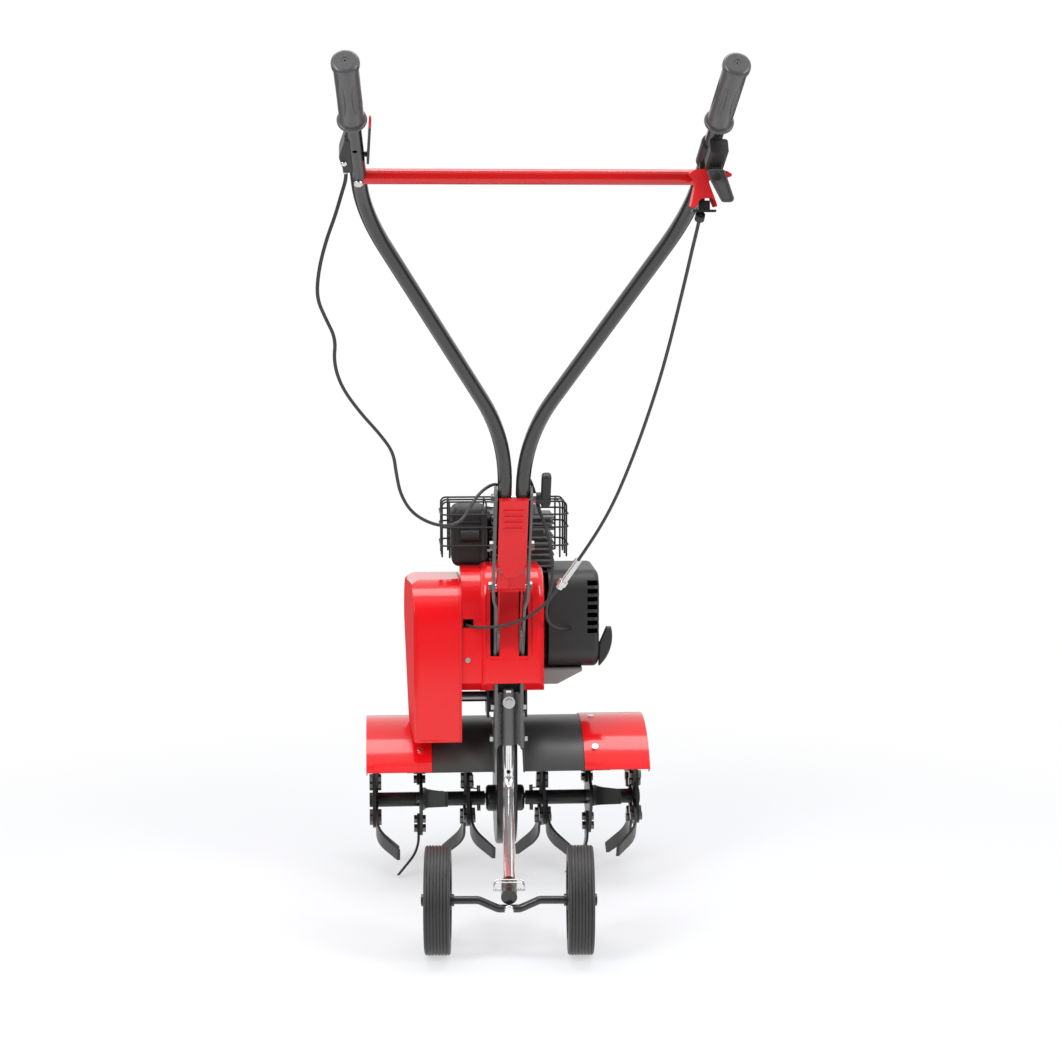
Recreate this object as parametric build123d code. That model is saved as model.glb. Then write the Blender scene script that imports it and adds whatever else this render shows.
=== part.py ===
from build123d import *

import math
import os

# Mini tiller: a petrol engine over a six-plate tine rotor, driven by a V-belt and a roller chain, with a
# handlebar on a hinged column and a pair of transport wheels on a sliding strut.
# X is to the right of a person at the handles, Y forwards, Z up. The pieces are laid out about the tine axle,
# which is over X = 0, Y = 0, and are moved at the end so that the origin is under the middle of the machine.

# Driving dimensions, in millimetres and degrees

# Fits between pieces
FIT = 0.05
DRILL_PAST = 1.0
GAP = 0.3

# Tine rotor
TINE_R = 125.0
TINE_INNER_X = 63.0
TINE_STEP_X = 77.5
TINE_SETS = 3
BLADES = 4
BLADE_WIDTH = 34.0
BLADE_TIP_WIDTH = 24.0
BLADE_T = 4.0
BLADE_ROOT = 24.0
BLADE_BEND_AT = 62.0
BLADE_BEND_R = 60.0
BLADE_BEND = 40.0
BLADE_BOLTS = (33.0, 48.0)
TINE_PLATE_SIDE = 92.0
TINE_PLATE_CORNER = 12.0
TINE_PLATE_T = 5.0
HUB_R = 12.0
HUB_OVERHANG = 8.0
HUB_CLEAR = 2.0
SHAFT_R = 8.5
SHAFT_REACH = 38.0
HUB_PIN_R = 3.0
HUB_PIN_IN = 10.0
HUB_PIN_PROUD = 9.0
HUB_RELIEF = 0.3
CLIP_WIRE_R = 1.2
CLIP_LEG = 15.0
CLIP_WIDTH = 8.0

# Chain drive
CHAIN_PITCH = 12.7
ROLLER_R = 3.9
SEAT_CLEAR = 0.25
LARGE_TEETH = 33
PINION_TEETH = 10
TOOTH_HEIGHT = 1.2
TOOTH_MOUTH = 2.5
MOUTH_CLEAR = 1.2
SPROCKET_T = 7.0
LINK_HEIGHT = 9.0
LINK_T = 1.4
ROLLER_LENGTH = 8.0
CHAIN_CLEAR = 2.7
COUNTER_Y = -40.0
COUNTER_RISE = 181.0
COUNTER_R = 8.5

# Chain case
CASE_WALL = 2.0
CASE_HALF = 17.0
CASE_EDGE = 5.0
CASE_FLANGE = 7.0
FLANGE_T = 2.0
LOW_BEARING_R = 16.0
LOW_BEARING_W = 15.0
TOP_BEARING_R = 20.0
TOP_BEARING_W = 12.0
BOSS_WALL = 6.0
BOSS_END = 2.0
BOSS_EDGE = 6.0
CASE_BOLTS_ROUND = 5

# Belt drive
CRANK_FORWARD = 55.0
CRANK_RISE = 134.0
CRANK_R = 12.0
BELT_X = -105.0
BELT_W = 9.0
BELT_T = 6.0
ENGINE_PULLEY_R = 25.0
DRIVEN_PULLEY_R = 34.5
PULLEY_W = 16.0
PULLEY_RIM = 3.5
GROOVE_DEPTH = 9.0
GROOVE_TOP = 6.6
GROOVE_BOTTOM = 4.9
IDLER_R = 12.0
IDLER_W = 10.0
IDLER_REST_GAP = 5.0
ARM_LENGTH = 35.0
ARM_TAIL = 40.0
ARM_T = 4.0
ARM_CLEAR = 5.0
ARM_EYE_R = 9.0
ARM_END_R = 6.0
ARM_END_HOLE_R = 3.0
TAIL_LEAN = 2.0
ARM_HALF = 8.0
STUD_R = 5.0
IDLER_PIN_R = 4.0
IDLER_PIN_PROUD = 2.0
STUD_PROUD = 3.0

# Belt cover and its back plate
COVER_IN_X = -79.0
COVER_DEPTH = 88.0
COVER_TOP_R = 65.0
COVER_CLEAR = 4.0
COVER_WALL = 2.5
COVER_FOOT_RISE = 4.0
COVER_FOOT_R = 6.0
COVER_BACK_R = 64.0
COVER_SIDE_TOP_R = 28.0
COVER_SIDE_LOW_R = 24.0
COVER_EDGE = 10.0
COVER_DRAFT = 14.0
BACKPLATE_T = 3.0
SHAFT_HOLE_CLEAR = 3.0

# Engine bed and rear bracket
BED_T = 4.0
BED_GAP = 1.0
BED_FRONT = 100.0
LUG_T = 4.0
LUG_HALF = 30.0
BRACKET_IN_X = 18.2
BRACKET_T = 5.0
BRACKET_BACK = -127.0
BRACKET_FRONT = -85.0
BRACKET_BOTTOM = 237.0
BRACKET_WEB = 4.0
BRACKET_BOLT_LOW = 13.0
BRACKET_BOLT_HIGH = 65.0

# Wheel strut and wheels
HOLDER_WALL = 3.0
HOLDER_BOTTOM = 240.0
HOLDER_TOP = 326.0
HOLDER_IN = 5.0
HOLDER_PLATE = 4.0
HOLDER_BOLT = (11.0, 5.0, 4.0)
HOLDER_BOLT_DOWN = 15.0
WASHER_R = 10.0
WASHER_T = 2.0
SLEEVE_R = 12.0
WELD_R = 1.7
WELDS = 6
STRUT_R = 9.0
STRUT_FIT = 0.1
STRUT_TOP = 330.0
STRUT_BEND_Z = 166.0
STRUT_BEND_R = 30.0
STRUT_WALL = 1.8
STRUT_HOLE_R = 3.3
STRUT_HOLE_Z = 196.0
STRUT_TURN = 3.2
WHEEL_BACK = 445.0
WHEEL_R = 80.0
WHEEL_W = 38.0
WHEEL_HUB_R = 15.0
WHEEL_RIM_R = 58.0
WHEEL_DISH = 9.0
WHEEL_EDGE = 4.0
WHEEL_GROOVES = 7
GROOVE_W = 1.6
GROOVE_IN = 1.4
TRACK_HALF = 105.0
AXLE_ROD_R = 6.0
AXLE_PROUD = 1.0
AXLE_DIP = 13.0
AXLE_DIP_X = 16.0
AXLE_LEVEL_X = 45.0
AXLE_BEND_R = 14.0
COLLAR_R = 9.0
COLLAR_W = 5.0
SOCKET_R = 12.0
SOCKET_LENGTH = 40.0
SOCKET_PIN_R = 2.5
SOCKET_PIN_X = 24.0
SOCKET_CAP = 2.0
CLIP_IN = 2.0
CLIP_SPREAD = 4.0
AXLE_BOLT = (15.0, 4.5, 3.0, 12.0)

# Tine guard and fenders
GUARD_CLEAR = 11.0
GUARD_T = 2.0
GUARD_HALF = 165.0
GUARD_BACK_ANGLE = -58.5
GUARD_FRONT_ANGLE = 60.0
GUARD_SLOT_FRONT = 24.0
GUARD_TAB = 34.0
FENDER_IN_X = 124.0
FENDER_OUT_X = 230.0
FENDER_T = 2.0
FENDER_LIP = 13.0
FENDER_BOLT_X = 142.0
FENDER_BOLT_ANGLES = (-42.0, 35.0)
FENDER_TOP_BOLT = -8.0

# Hood
HOOD_RIGHT = 57.0
HOOD_BEHIND_PIVOT = 35.0
HOOD_FRONT = -38.0
HOOD_BOTTOM = 330.0
HOOD_TOP = 529.0
HOOD_ROUND = 50.0
HOOD_EDGE = 12.0
HOOD_WALL = 3.0
HOOD_CUT = 10.0
HOOD_CHIN = 14.0
HOOD_STRIP = 30.0
HOOD_STEP = 5.0
BED_CLEAR = 2.0
SLOT_OUT = 5.5
PANEL_HALF = 37.0
PANEL_BOTTOM = 382.0
PANEL_TOP = 498.0
PANEL_DEPTH = 1.5
PANEL_CORNER = 12.0
SLOT_BOTTOM = 388.0
SLOT_TOP = 492.0
CABLE_SLOT_X = -57.0
CABLE_SLOT_Z = 441.0
CABLE_SLOT_H = 14.0

# Engine
CRANKCASE_LEFT = -58.0
CRANKCASE_RIGHT = 68.0
CRANKCASE_BACK = -34.0
CRANKCASE_FRONT = 84.0
CRANKCASE_TOP = 502.0
CRANKCASE_EDGE = 9.0
PTO_BOSS_R = 30.0
FOOT_RIGHT = 124.0
FOOT_BACK = -55.0
FOOT_FRONT = 70.0
FOOT_BOTTOM = 328.0
FOOT_HEEL = 26.0
FOOT_TOE = 6.0
BASE_H = 12.0
CYLINDER_LEFT = -22.0
CYLINDER_RIGHT = 80.0
CYLINDER_BACK = -30.0
CYLINDER_FRONT = 70.0
CYLINDER_CORE = 34.0
FIN_T = 3.0
FIN_STEP = 9.5
CYLINDER_FINS = 7
HEAD_FINS = 3
HEAD_BASE = 4.0
ROCKER_HALF_X = 30.0
ROCKER_HALF_Y = 34.0
ROCKER_HEIGHT = 22.0
MUFFLER_LEFT = -88.0
MUFFLER_RIGHT = -30.0
MUFFLER_BACK = -34.0
MUFFLER_FRONT = 46.0
MUFFLER_RISE = 18.0
MUFFLER_HEIGHT = 98.0
MUFFLER_EDGE = 12.0
MUFFLER_LIP = 4.0
MUFFLER_SEAM = 1.5
MUFFLER_SEAM_RISE = 74.0
OUTLET_R = 10.0
OUTLET_RISE = 52.0
OUTLET_IN = 14.0
OUTLET_LENGTH = 30.0
OUTLET_WALL = 2.5
EXHAUST_R = 11.0
CAGE_WIRE_R = 1.5
CAGE_LEFT = -106.0
CAGE_RIGHT = 102.0
CAGE_BACK = -46.0
CAGE_FRONT = 60.0
CAGE_CORNER = 14.0
CAGE_BEND_R = 8.0
CAGE_WELD = 2.2
CAGE_RISES = (54.0, 84.0, 105.0)
CAGE_POSTS = 4
CAGE_LEG = 20.0
BLOWER_RIGHT = 151.0
BLOWER_HALF = 86.0
BLOWER_BOTTOM = 355.0
BLOWER_TOP = 515.0
BLOWER_CORNER = 34.0
BLOWER_EDGE = 9.0
BLOWER_WALL = 2.5
LOUVRES = 7
LOUVRE_STEP = 13.0
LOUVRE_H = 8.0
LOUVRE_DEEP = 2.0
LOUVRE_LEFT = 131.0
LOUVRE_BOTTOM = 414.0
FLYWHEEL_R = 62.0
FLYWHEEL_LEFT = 80.0
FLYWHEEL_W = 22.0
VANES = 12
VANE_T = 3.0
VANE_W = 14.0
VANE_IN_R = 34.0
VANE_IN = 1.0
GUIDE_X = 160.0
GUIDE_Z = 384.0
GUIDE_BACK = -48.0
GUIDE_FRONT = -26.0
GUIDE_STEP = 4.0
ROPE_DEEP = 16.0
GUIDE_R = 9.0
ROPE_R = 3.0
PULL_W = 20.0
PULL_UP = 38.0
PULL_DOWN = 26.0
PULL_TIP = 7.5
PULL_T = 16.0
PULL_EDGE = 3.0
TANK_LEFT = -60.0
TANK_RIGHT = 66.0
TANK_DEPTH = 66.0
TANK_BOTTOM = 412.0
TANK_TOP = 528.0
TANK_EDGE = 18.0
SADDLE_IN = 40.0
CAP_X = 40.0
CAP_R = 22.0
CAP_HEIGHT = 16.0
NECK_R = 15.0
NECK_HEIGHT = 9.0
CARB_LEFT = -10.0
CARB_RIGHT = 28.0
CARB_DEPTH = 34.0
CARB_RISE = 43.0
CARB_HEIGHT = 35.0
BOWL_R = 14.0
BOWL_H = 14.0
CLEANER_LEFT = -82.0
CLEANER_BACK = 72.0
CLEANER_FRONT = 122.0
CLEANER_RISE = 6.0
CLEANER_HEIGHT = 70.0
CLEANER_EDGE = 12.0
CLEANER_STEP = 6.0
PLUG_X = 58.0
PLUG_R = 6.0
PLUG_LENGTH = 16.0
BOOT_R = 8.5
BOOT_LENGTH = 24.0

# Handlebar column
PIVOT_Y = -95.0
PIVOT_RISE = 19.0
PIN_R = 6.0
PIN_HEAD = 3.0
COLUMN_ANGLE = 62.0
COLUMN_LENGTH = 342.0
SIDE_LOW_X = 20.5
SIDE_T = 4.0
SIDE_W = 30.0
SIDE_FOOT = 15.0
JOG_AT = 124.0
JOG_LENGTH = 18.0
COLUMN_BOLTS = (237.0, 326.0)
SPACER_AT = 152.0
SPACER_FORWARD = 9.0
SPACER_R = 3.5
COLUMN_BOLT_R = 4.0
SECTOR_T = 4.0
SECTOR_R = 84.0
SECTOR_TEETH = 7
TOOTH_ANGLE = 5.0
NOTCH_R = 3.0
SECTOR_START = 96.0
SECTOR_END = 137.0
SECTOR_FOOT_BACK = 30.0
SECTOR_FOOT_FRONT = 28.0
SECTOR_FOOT_T = 4.0
SLIDE_HALF = 22.5
SLIDE_LOW = 188.0
SLIDE_HIGH = 334.0
SLIDE_T = 8.0
SLIDE_TAPER = 28.0
SLIDE_RIDGES = (282.0, 293.0, 304.0, 315.0)
RIDGE_H = 2.2
RIDGE_W = 4.0
RIDGE_HALF = 15.0
SLIDE_TIP_HALF = 10.0
CATCH_LOW = 164.0
CATCH_HIGH = 192.0
RIB_HALF = 1.5
RIB_H = 4.0
PAWL_IN_X = 16.6
PAWL_OUT_X = 19.8
PAWL_HALF = 4.0
CLAMP_BOSS_R = 9.0
CLAMP_OUT = 22.0
CLAMP_PADDLE_X = 15.0
CLAMP_PADDLE_UP = 44.0
CLAMP_PADDLE_DOWN = 14.0
CLAMP_PADDLE_HALF = 8.0

# Handle tubes, cross bar and grips
TUBE_R = 11.0
TUBE_WALL = 1.8
TUBE_X = 14.0
TUBE_START = 224.0
LOW_BEND_AT = 436.0
LOW_BEND_R = 340.0
TOP_BEND_BACK = 36.0
TOP_BEND_R = 260.0
SPREAD_X = 226.0
SPREAD_Y = -600.0
SPREAD_Z = 1100.0
HANDLE_END_X = 241.0
HANDLE_END_Y = -842.0
HANDLE_END_Z = 1251.0
CROSSBAR_AT = 47.0
CROSSBAR_R = 10.4
CROSSBAR_WALL = 1.5
CROSSBAR_BOLT = (13.0, 2.8, 3.0)
GRIP_LENGTH = 125.0
GRIP_R = 16.0
GRIP_CAP_R = 18.0
GRIP_CAP_T = 9.0
GRIP_FLANGE_R = 19.5
GRIP_FLANGE_T = 6.0
GRIP_CAP_EDGE = 5.0
GRIP_FLANGE_EDGE = 2.5
GRIP_DISH_R = 5.0
GRIP_DISH = 0.6
GRIP_DIMPLE_R = 1.2
GRIP_DIMPLE = 3.0
GRIP_FLUTES = 6
GRIP_FLUTE_R = 6.0
GRIP_FLUTE_DEEP = 2.6
CAP_FLUTES = 14
CAP_FLUTE_R = 2.2
FREE_HOLE_AT = 118.0
FREE_HOLE_R = 3.25

# Controls, along the last straight run of each handle tube
CLAMP_WALL = 3.4
CLAMP_AT = 84.0
CLAMP_LENGTH = 42.0
HOUSING_AT = 107.0
HOUSING_END = 146.0
HOUSING_LEFT = -8.0
HOUSING_RIGHT = 16.0
HOUSING_DEEP = 30.0
HOUSING_EDGE = 4.0
CLUTCH_PIN_AT = 91.0
CLUTCH_PIN_BELOW = 29.0
CLUTCH_PIN_R = 3.0
CLUTCH_PIN_LEFT = -21.0
CLUTCH_PIN_RIGHT = 6.0
CLUTCH_HALF = 10.0
CLUTCH_WALL = 4.0
CLUTCH_ROUND = 2.4
CLUTCH_OUTLINE = [
    (-27.0, 4.2),
    (-19.0, 9.0),
    (-7.0, 9.7),
    (22.0, 7.2),
    (32.0, 1.6),
    (24.0, -1.5),
    (8.0, -1.0),
    (-2.0, -6.0),
    (10.8, -39.5),
    (-25.3, -40.4),
    (-18.3, -5.5),
]
CLUTCH_CAVITY = [
    (-13.0, 12.0),
    (-5.0, 12.0),
    (-5.0, -12.0),
    (7.5, -42.0),
    (-20.0, -42.0),
    (-13.0, -12.0),
]
CLUTCH_ARCH = [
    (-19.5, -44.0),
    (-13.7, -30.5),
    (-10.0, -28.8),
    (2.0, -28.0),
    (6.0, -30.5),
    (10.2, -44.0),
]
ARM_IN = -12.0
ARM_OUT = -6.0
ARM_BACK = 5.0
ARM_FRONT = -9.0
ARM_NECK = -2.0
ARM_UP = 18.0
ARM_BLOCK_IN = -14.0
ARM_BLOCK_OUT = 1.0
ARM_BLOCK_TOP = -31.0
CUP_PLATE_IN = -22.0
CUP_PLATE_OUT = 9.0
CUP_PLATE_TOP = -43.0
CUP_PLATE_T = 3.0
CUP_PLATE_FRONT = -12.0
CUP_PLATE_BACK = 8.0
CUP_R = 6.5
CUP_LENGTH = 9.0
THROTTLE_X = 7.0
THROTTLE_Z = -1.0
THROTTLE_PADDLE = [
    (-1.0, 3.5),
    (17.0, -29.0),
    (24.0, -29.0),
    (12.5, 3.5),
]
THROTTLE_CORNER = 5.0
THROTTLE_RIM = 2.2
THROTTLE_HOLLOW = 2.0
THROTTLE_BACK = 21.5
THROTTLE_T = 6.0
THROTTLE_PIN_R = 3.0
THROTTLE_HEAD_R = 5.0
THROTTLE_HEAD = 2.0
THROTTLE_LUG_HALF = 6.0
THROTTLE_LUG_DOWN = 5.0
THROTTLE_LUG_UP = 19.0
THROTTLE_LUG_BACK = 11.6
STOP_PIN_AT = 97.0
STOP_PIN_R = 3.5
STOP_LEVER_T = 3.0
STOP_LEVER_HALF = 9.0
STOP_TIP_HALF = 7.0
STOP_LEVER_UP = 81.0
STOP_LEVER_DOWN = 16.0
STOP_LEVER_LEAN = 5.5
STOP_BLOCK_AT = 70.0
STOP_BLOCK_HALF = 10.0
STOP_BLOCK_OUTLINE = [
    (5.5, 70.0),
    (17.0, 70.0),
    (21.5, 104.0),
    (19.5, 113.0),
    (12.0, 140.0),
    (5.5, 140.0),
]
STOP_BLOCK_ROUND = 1.5
STOP_BOLT = (9.0, 2.6, 2.5, 12.0)
STOP_BOLT_X = 16.0
STOP_BOLT_AT = 92.0
FERRULE_R = 3.6
FERRULE_LENGTH = 12.0
FERRULE_X = 16.0

# Cords: the diameter of each, the points of its route about the tine axle, and the share of a run that a turn
# takes
CORD_TURN_SHARE = 0.45
STOP_CORD_D = 5.0
STOP_CORD = [
    (-245.0, -648.4, 1130.2),
    (-244.3, -637.2, 1123.2),
    (-251.0, -627.0, 1103.0),
    (-260.0, -618.0, 1074.0),
    (-273.0, -603.0, 1041.0),
    (-284.0, -580.0, 1002.0),
    (-288.0, -557.0, 964.0),
    (-276.0, -538.0, 935.0),
    (-263.0, -519.0, 907.0),
    (-267.0, -496.0, 874.0),
    (-257.0, -472.0, 838.0),
    (-232.0, -448.0, 801.0),
    (-203.0, -424.0, 767.0),
    (-184.0, -404.0, 739.0),
    (-180.0, -384.0, 707.0),
    (-174.0, -364.0, 674.0),
    (-158.0, -344.0, 645.0),
    (-131.0, -324.0, 626.0),
    (-102.0, -304.0, 618.0),
    (-80.0, -287.0, 625.0),
    (-66.0, -272.0, 647.0),
    (-50.0, -255.0, 667.0),
    (-26.0, -239.0, 679.0),
    (-8.0, -223.0, 661.0),
    (-6.0, -205.0, 626.0),
    (-8.0, -180.0, 590.0),
    (-9.0, -146.0, 566.0),
    (-11.0, -109.0, 562.0),
    (-12.0, -80.0, 548.0),
    (-12.0, -70.0, 524.0),
]
CLUTCH_CABLE_D = 5.0
CLUTCH_CABLE = [
    (220.7, -687.0, 1074.5),
    (219.5, -671.0, 1058.0),
    (217.0, -645.0, 1033.0),
    (213.5, -611.0, 996.0),
    (208.5, -569.0, 950.0),
    (202.5, -526.0, 900.0),
    (195.0, -483.0, 850.0),
    (185.0, -440.0, 799.0),
    (173.5, -399.0, 749.0),
    (160.0, -360.0, 699.0),
    (147.0, -328.0, 658.0),
    (132.0, -300.0, 621.0),
    (112.0, -270.0, 581.0),
    (58.0, -233.0, 494.0),
    (25.0, -205.0, 462.0),
    (-4.0, -190.0, 449.0),
    (-27.0, -174.0, 443.0),
    (-48.0, -156.0, 439.0),
    (-62.0, -138.0, 438.0),
    (-68.0, -119.0, 438.0),
]
ADJUSTER_RUN = 12
ADJUSTER_R = 5.5
ADJUSTER_LENGTH = 58.0
ADJUSTER_NUT = 13.0
ADJUSTER_NUT_T = 9.0
THROTTLE_CABLE_D = 5.0
THROTTLE_CABLE = [
    (14.0, -269.5, 695.2),
    (24.5, -243.5, 686.5),
    (33.5, -230.8, 662.6),
    (40.0, -229.0, 637.0),
    (51.0, -222.0, 609.0),
    (61.0, -210.0, 573.0),
    (66.0, -190.0, 528.0),
    (61.0, -168.0, 492.0),
    (57.0, -150.0, 462.0),
    (63.0, -137.0, 442.0),
    (78.0, -118.0, 430.0),
    (97.0, -90.0, 424.0),
    (103.0, -66.0, 422.0),
]

# Bolt sizes: width across the flats, head height, shank radius and, where it is not worked out, length
CASE_BOLT = (5.5, 2.4, 1.5)
CASE_BOLT_PROUD = 3.0
DOME_SHARE = 0.6
HOOD_SCREW = (8.0, 3.5, 2.5)
SMALL_BOLT = (10.0, 4.0, 3.0, 9.0)
LARGE_BOLT = (13.0, 5.3, 4.0, 12.0)

# Places worked out from the driving dimensions
AXLE_Z = TINE_R
ROTOR_TURN = -2 * math.degrees(math.atan2(BLADE_WIDTH / 2, TINE_R))
COUNTER_Z = AXLE_Z + COUNTER_RISE
CHAIN_WAY = math.atan2(COUNTER_RISE, COUNTER_Y)
CRANK_Y = COUNTER_Y + CRANK_FORWARD
CRANK_Z = COUNTER_Z + CRANK_RISE
LARGE_PITCH_R = CHAIN_PITCH / (2 * math.sin(math.pi / LARGE_TEETH))
PINION_PITCH_R = CHAIN_PITCH / (2 * math.sin(math.pi / PINION_TEETH))
CASE_LOW_R = LARGE_PITCH_R + LINK_HEIGHT / 2 + CHAIN_CLEAR + CASE_WALL
CASE_TOP_R = PINION_PITCH_R + LINK_HEIGHT / 2 + CHAIN_CLEAR + CASE_WALL
CAVITY_HALF = CASE_HALF - CASE_WALL
LOW_BOSS_X = CAVITY_HALF + LOW_BEARING_W + BOSS_END
TOP_BOSS_X = CAVITY_HALF + TOP_BEARING_W + BOSS_END
HUB_IN_X = LOW_BOSS_X + HUB_CLEAR
HUB_OUT_X = TINE_INNER_X + (TINE_SETS - 1) * TINE_STEP_X + HUB_OVERHANG
SHAFT_END_X = HUB_IN_X + SHAFT_REACH
RELIEF_X = SHAFT_END_X + DRILL_PAST
HUB_PIN_X = HUB_IN_X + HUB_PIN_IN
BED_BOTTOM = COUNTER_Z + CASE_TOP_R + CASE_FLANGE + BED_GAP
BED_TOP = BED_BOTTOM + BED_T
PIVOT_Z = BED_TOP + PIVOT_RISE
HOOD_BACK = PIVOT_Y - HOOD_BEHIND_PIVOT
BED_RIGHT = HOOD_RIGHT - HOOD_WALL
BED_BACK = HOOD_BACK + HOOD_STEP + HOOD_WALL + BED_CLEAR
BACKPLATE_RIGHT = COVER_IN_X + BACKPLATE_T
BED_LEFT = BACKPLATE_RIGHT + HOOD_WALL
COVER_LOW_R = DRIVEN_PULLEY_R + PULLEY_RIM + COVER_CLEAR + COVER_WALL
BRACKET_OUT_X = BRACKET_IN_X + BRACKET_T
STRUT_Y = (BRACKET_BACK + BRACKET_FRONT - BRACKET_WEB) / 2
GUARD_IN_R = TINE_R + GUARD_CLEAR
GUARD_OUT_R = GUARD_IN_R + GUARD_T
FENDER_OUT_R = GUARD_OUT_R + FENDER_T
CYLINDER_X = (CYLINDER_LEFT + CYLINDER_RIGHT) / 2
CYLINDER_Y = (CYLINDER_BACK + CYLINDER_FRONT) / 2
CYLINDER_TOP = CRANKCASE_TOP + CYLINDER_FINS * FIN_STEP
HEAD_TOP = CYLINDER_TOP + HEAD_BASE + HEAD_FINS * FIN_STEP
ROCKER_TOP = HEAD_TOP + ROCKER_HEIGHT
MUFFLER_BOTTOM = CRANKCASE_TOP + MUFFLER_RISE
MUFFLER_TOP = MUFFLER_BOTTOM + MUFFLER_HEIGHT
CAGE_LEVELS = [CRANKCASE_TOP + rise for rise in CAGE_RISES]
CARB_BOTTOM = CRANKCASE_TOP + CARB_RISE
CARB_TOP = CARB_BOTTOM + CARB_HEIGHT
CLEANER_BOTTOM = TANK_TOP + CLEANER_RISE
CLEANER_TOP = CLEANER_BOTTOM + CLEANER_HEIGHT
SIDE_TOP_X = TUBE_X + TUBE_R + GAP
SIDE_OUT_X = SIDE_TOP_X + SIDE_T

# Frames: the column stands on its hinge pin, the last run of the right handle tube starts at its top bend,
# and the levers hang from the clutch lever's pin
lean = math.radians(COLUMN_ANGLE)
COLUMN_WAY = Vector(0, -math.cos(lean), math.sin(lean))
COLUMN = Plane((0, PIVOT_Y, PIVOT_Z), x_dir=(1, 0, 0), z_dir=COLUMN_WAY)
TOP_BEND = Vector(SPREAD_X, SPREAD_Y, SPREAD_Z)
HANDLE_END = Vector(HANDLE_END_X, HANDLE_END_Y, HANDLE_END_Z)
RUN_WAY = (HANDLE_END - TOP_BEND).normalized()
RUN_SIDE = (Vector(1, 0, 0) - RUN_WAY * RUN_WAY.X).normalized()
RUN = Plane(TOP_BEND, x_dir=RUN_SIDE, z_dir=RUN_WAY)
RUN_LENGTH = (HANDLE_END - TOP_BEND).length
CLUTCH_PIN = RUN.from_local_coords(Vector(0, -CLUTCH_PIN_BELOW, CLUTCH_PIN_AT))
LEVERS = Plane(CLUTCH_PIN, x_dir=(1, 0, 0), z_dir=(0, -1, 0))
GRIP_AT = RUN_LENGTH - GRIP_LENGTH + GRIP_CAP_T


# Simple solids

def box(x0, x1, y0, y1, z0, z1):
    """Block between two opposite corners."""
    middle = Pos((x0 + x1) / 2, (y0 + y1) / 2, (z0 + z1) / 2)
    return middle * Box(x1 - x0, y1 - y0, z1 - z0)


def soft_box(x0, x1, y0, y1, z0, z1, edge):
    """Block with all its edges rounded."""
    block = box(x0, x1, y0, y1, z0, z1)
    return fillet(block.edges(), edge)


def rod(start, end, radius):
    """Round bar from one point to another."""
    run = Vector(end) - Vector(start)
    base = (Align.CENTER, Align.CENTER, Align.MIN)
    return Plane(start, z_dir=run).location * Cylinder(radius, run.length, align=base)


def rod_x(x0, x1, y, z, radius):
    """Round bar along X."""
    return rod((x0, y, z), (x1, y, z), radius)


def ring_x(x0, x1, y, z, radius, bore):
    """Round ring along X."""
    return rod_x(x0, x1, y, z, radius) - rod_x(x0, x1, y, z, bore)


def prism(face, x0, x1):
    """Face drawn with Y to the right and Z up, drawn out along X."""
    return extrude(Plane.YZ.offset(x0) * face, x1 - x0)


def hull(circles):
    """Outline round circles given counter-clockwise as (centre, radius), closed by their outer tangents."""
    count = len(circles)
    tangents = []
    for n, (centre, radius) in enumerate(circles):
        ahead, ahead_r = circles[(n + 1) % count]
        way = math.atan2(ahead[1] - centre[1], ahead[0] - centre[0])
        tangents.append(way - math.acos((radius - ahead_r) / math.dist(centre, ahead)))

    def on(circle, angle):
        (x, y), radius = circle
        return (x + radius * math.cos(angle), y + radius * math.sin(angle))

    edges = []
    for n, circle in enumerate(circles):
        start = tangents[n - 1]
        end = start + (tangents[n] - start) % (2 * math.pi)
        edges.append(ThreePointArc(on(circle, start), on(circle, (start + end) / 2), on(circle, end)))
        edges.append(Line(on(circle, end), on(circles[(n + 1) % count], end)))
    return make_face(edges)


def capsule(low, low_r, high, high_r):
    """Outline round two circles."""
    return hull([(low, low_r), (high, high_r)])


def tube(points, radii, radius, bore=0.0):
    """Round tube along straight runs joined by arcs."""
    path = FilletPolyline(*points, radius=radii)
    ring = Circle(radius)
    if bore > 0.0:
        ring -= Circle(bore)
    return sweep(Plane(path @ 0, z_dir=path % 0) * ring, path=path)


def bolt(seat, out, size):
    """Hexagon bolt: the head stands on its seat, the shank goes in."""
    across, head, shank, length = size
    hexagon = extrude(RegularPolygon(across / 2, 6, major_radius=False), head)
    stem = Pos(0, 0, -length / 2) * Cylinder(shank, length)
    return Plane(seat, z_dir=out).location * (hexagon + stem)


def round_bolt(seat, out, size):
    """Bolt with a low domed head."""
    across, head, shank, length = size
    dome = Pos(0, 0, head / 2) * Cylinder(across / 2, head)
    dome = fillet(dome.edges().group_by(Axis.Z)[-1], head * DOME_SHARE)
    stem = Pos(0, 0, -length / 2) * Cylinder(shank, length)
    return Plane(seat, z_dir=out).location * (dome + stem)


def bolt_hole(seat, out, size):
    """Clearance hole for a bolt."""
    shank, length = size[2], size[3]
    way = Vector(out).normalized()
    return rod(Vector(seat) + way, Vector(seat) - way * (length + DRILL_PAST), shank + FIT)


def drilled(part, bolts):
    """Part with the clearance holes of a list of bolts."""
    for spec in bolts:
        part -= bolt_hole(*spec)
    return part


def cord_hole(start, end, diameter):
    """Hole for a cord along one straight run of its route."""
    return rod(start, end, diameter / 2 + GAP)


def both_sides(right):
    """A piece of the right side together with its mirror image."""
    return [right, mirror(right, about=Plane.YZ)]


# Tine rotor

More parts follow.
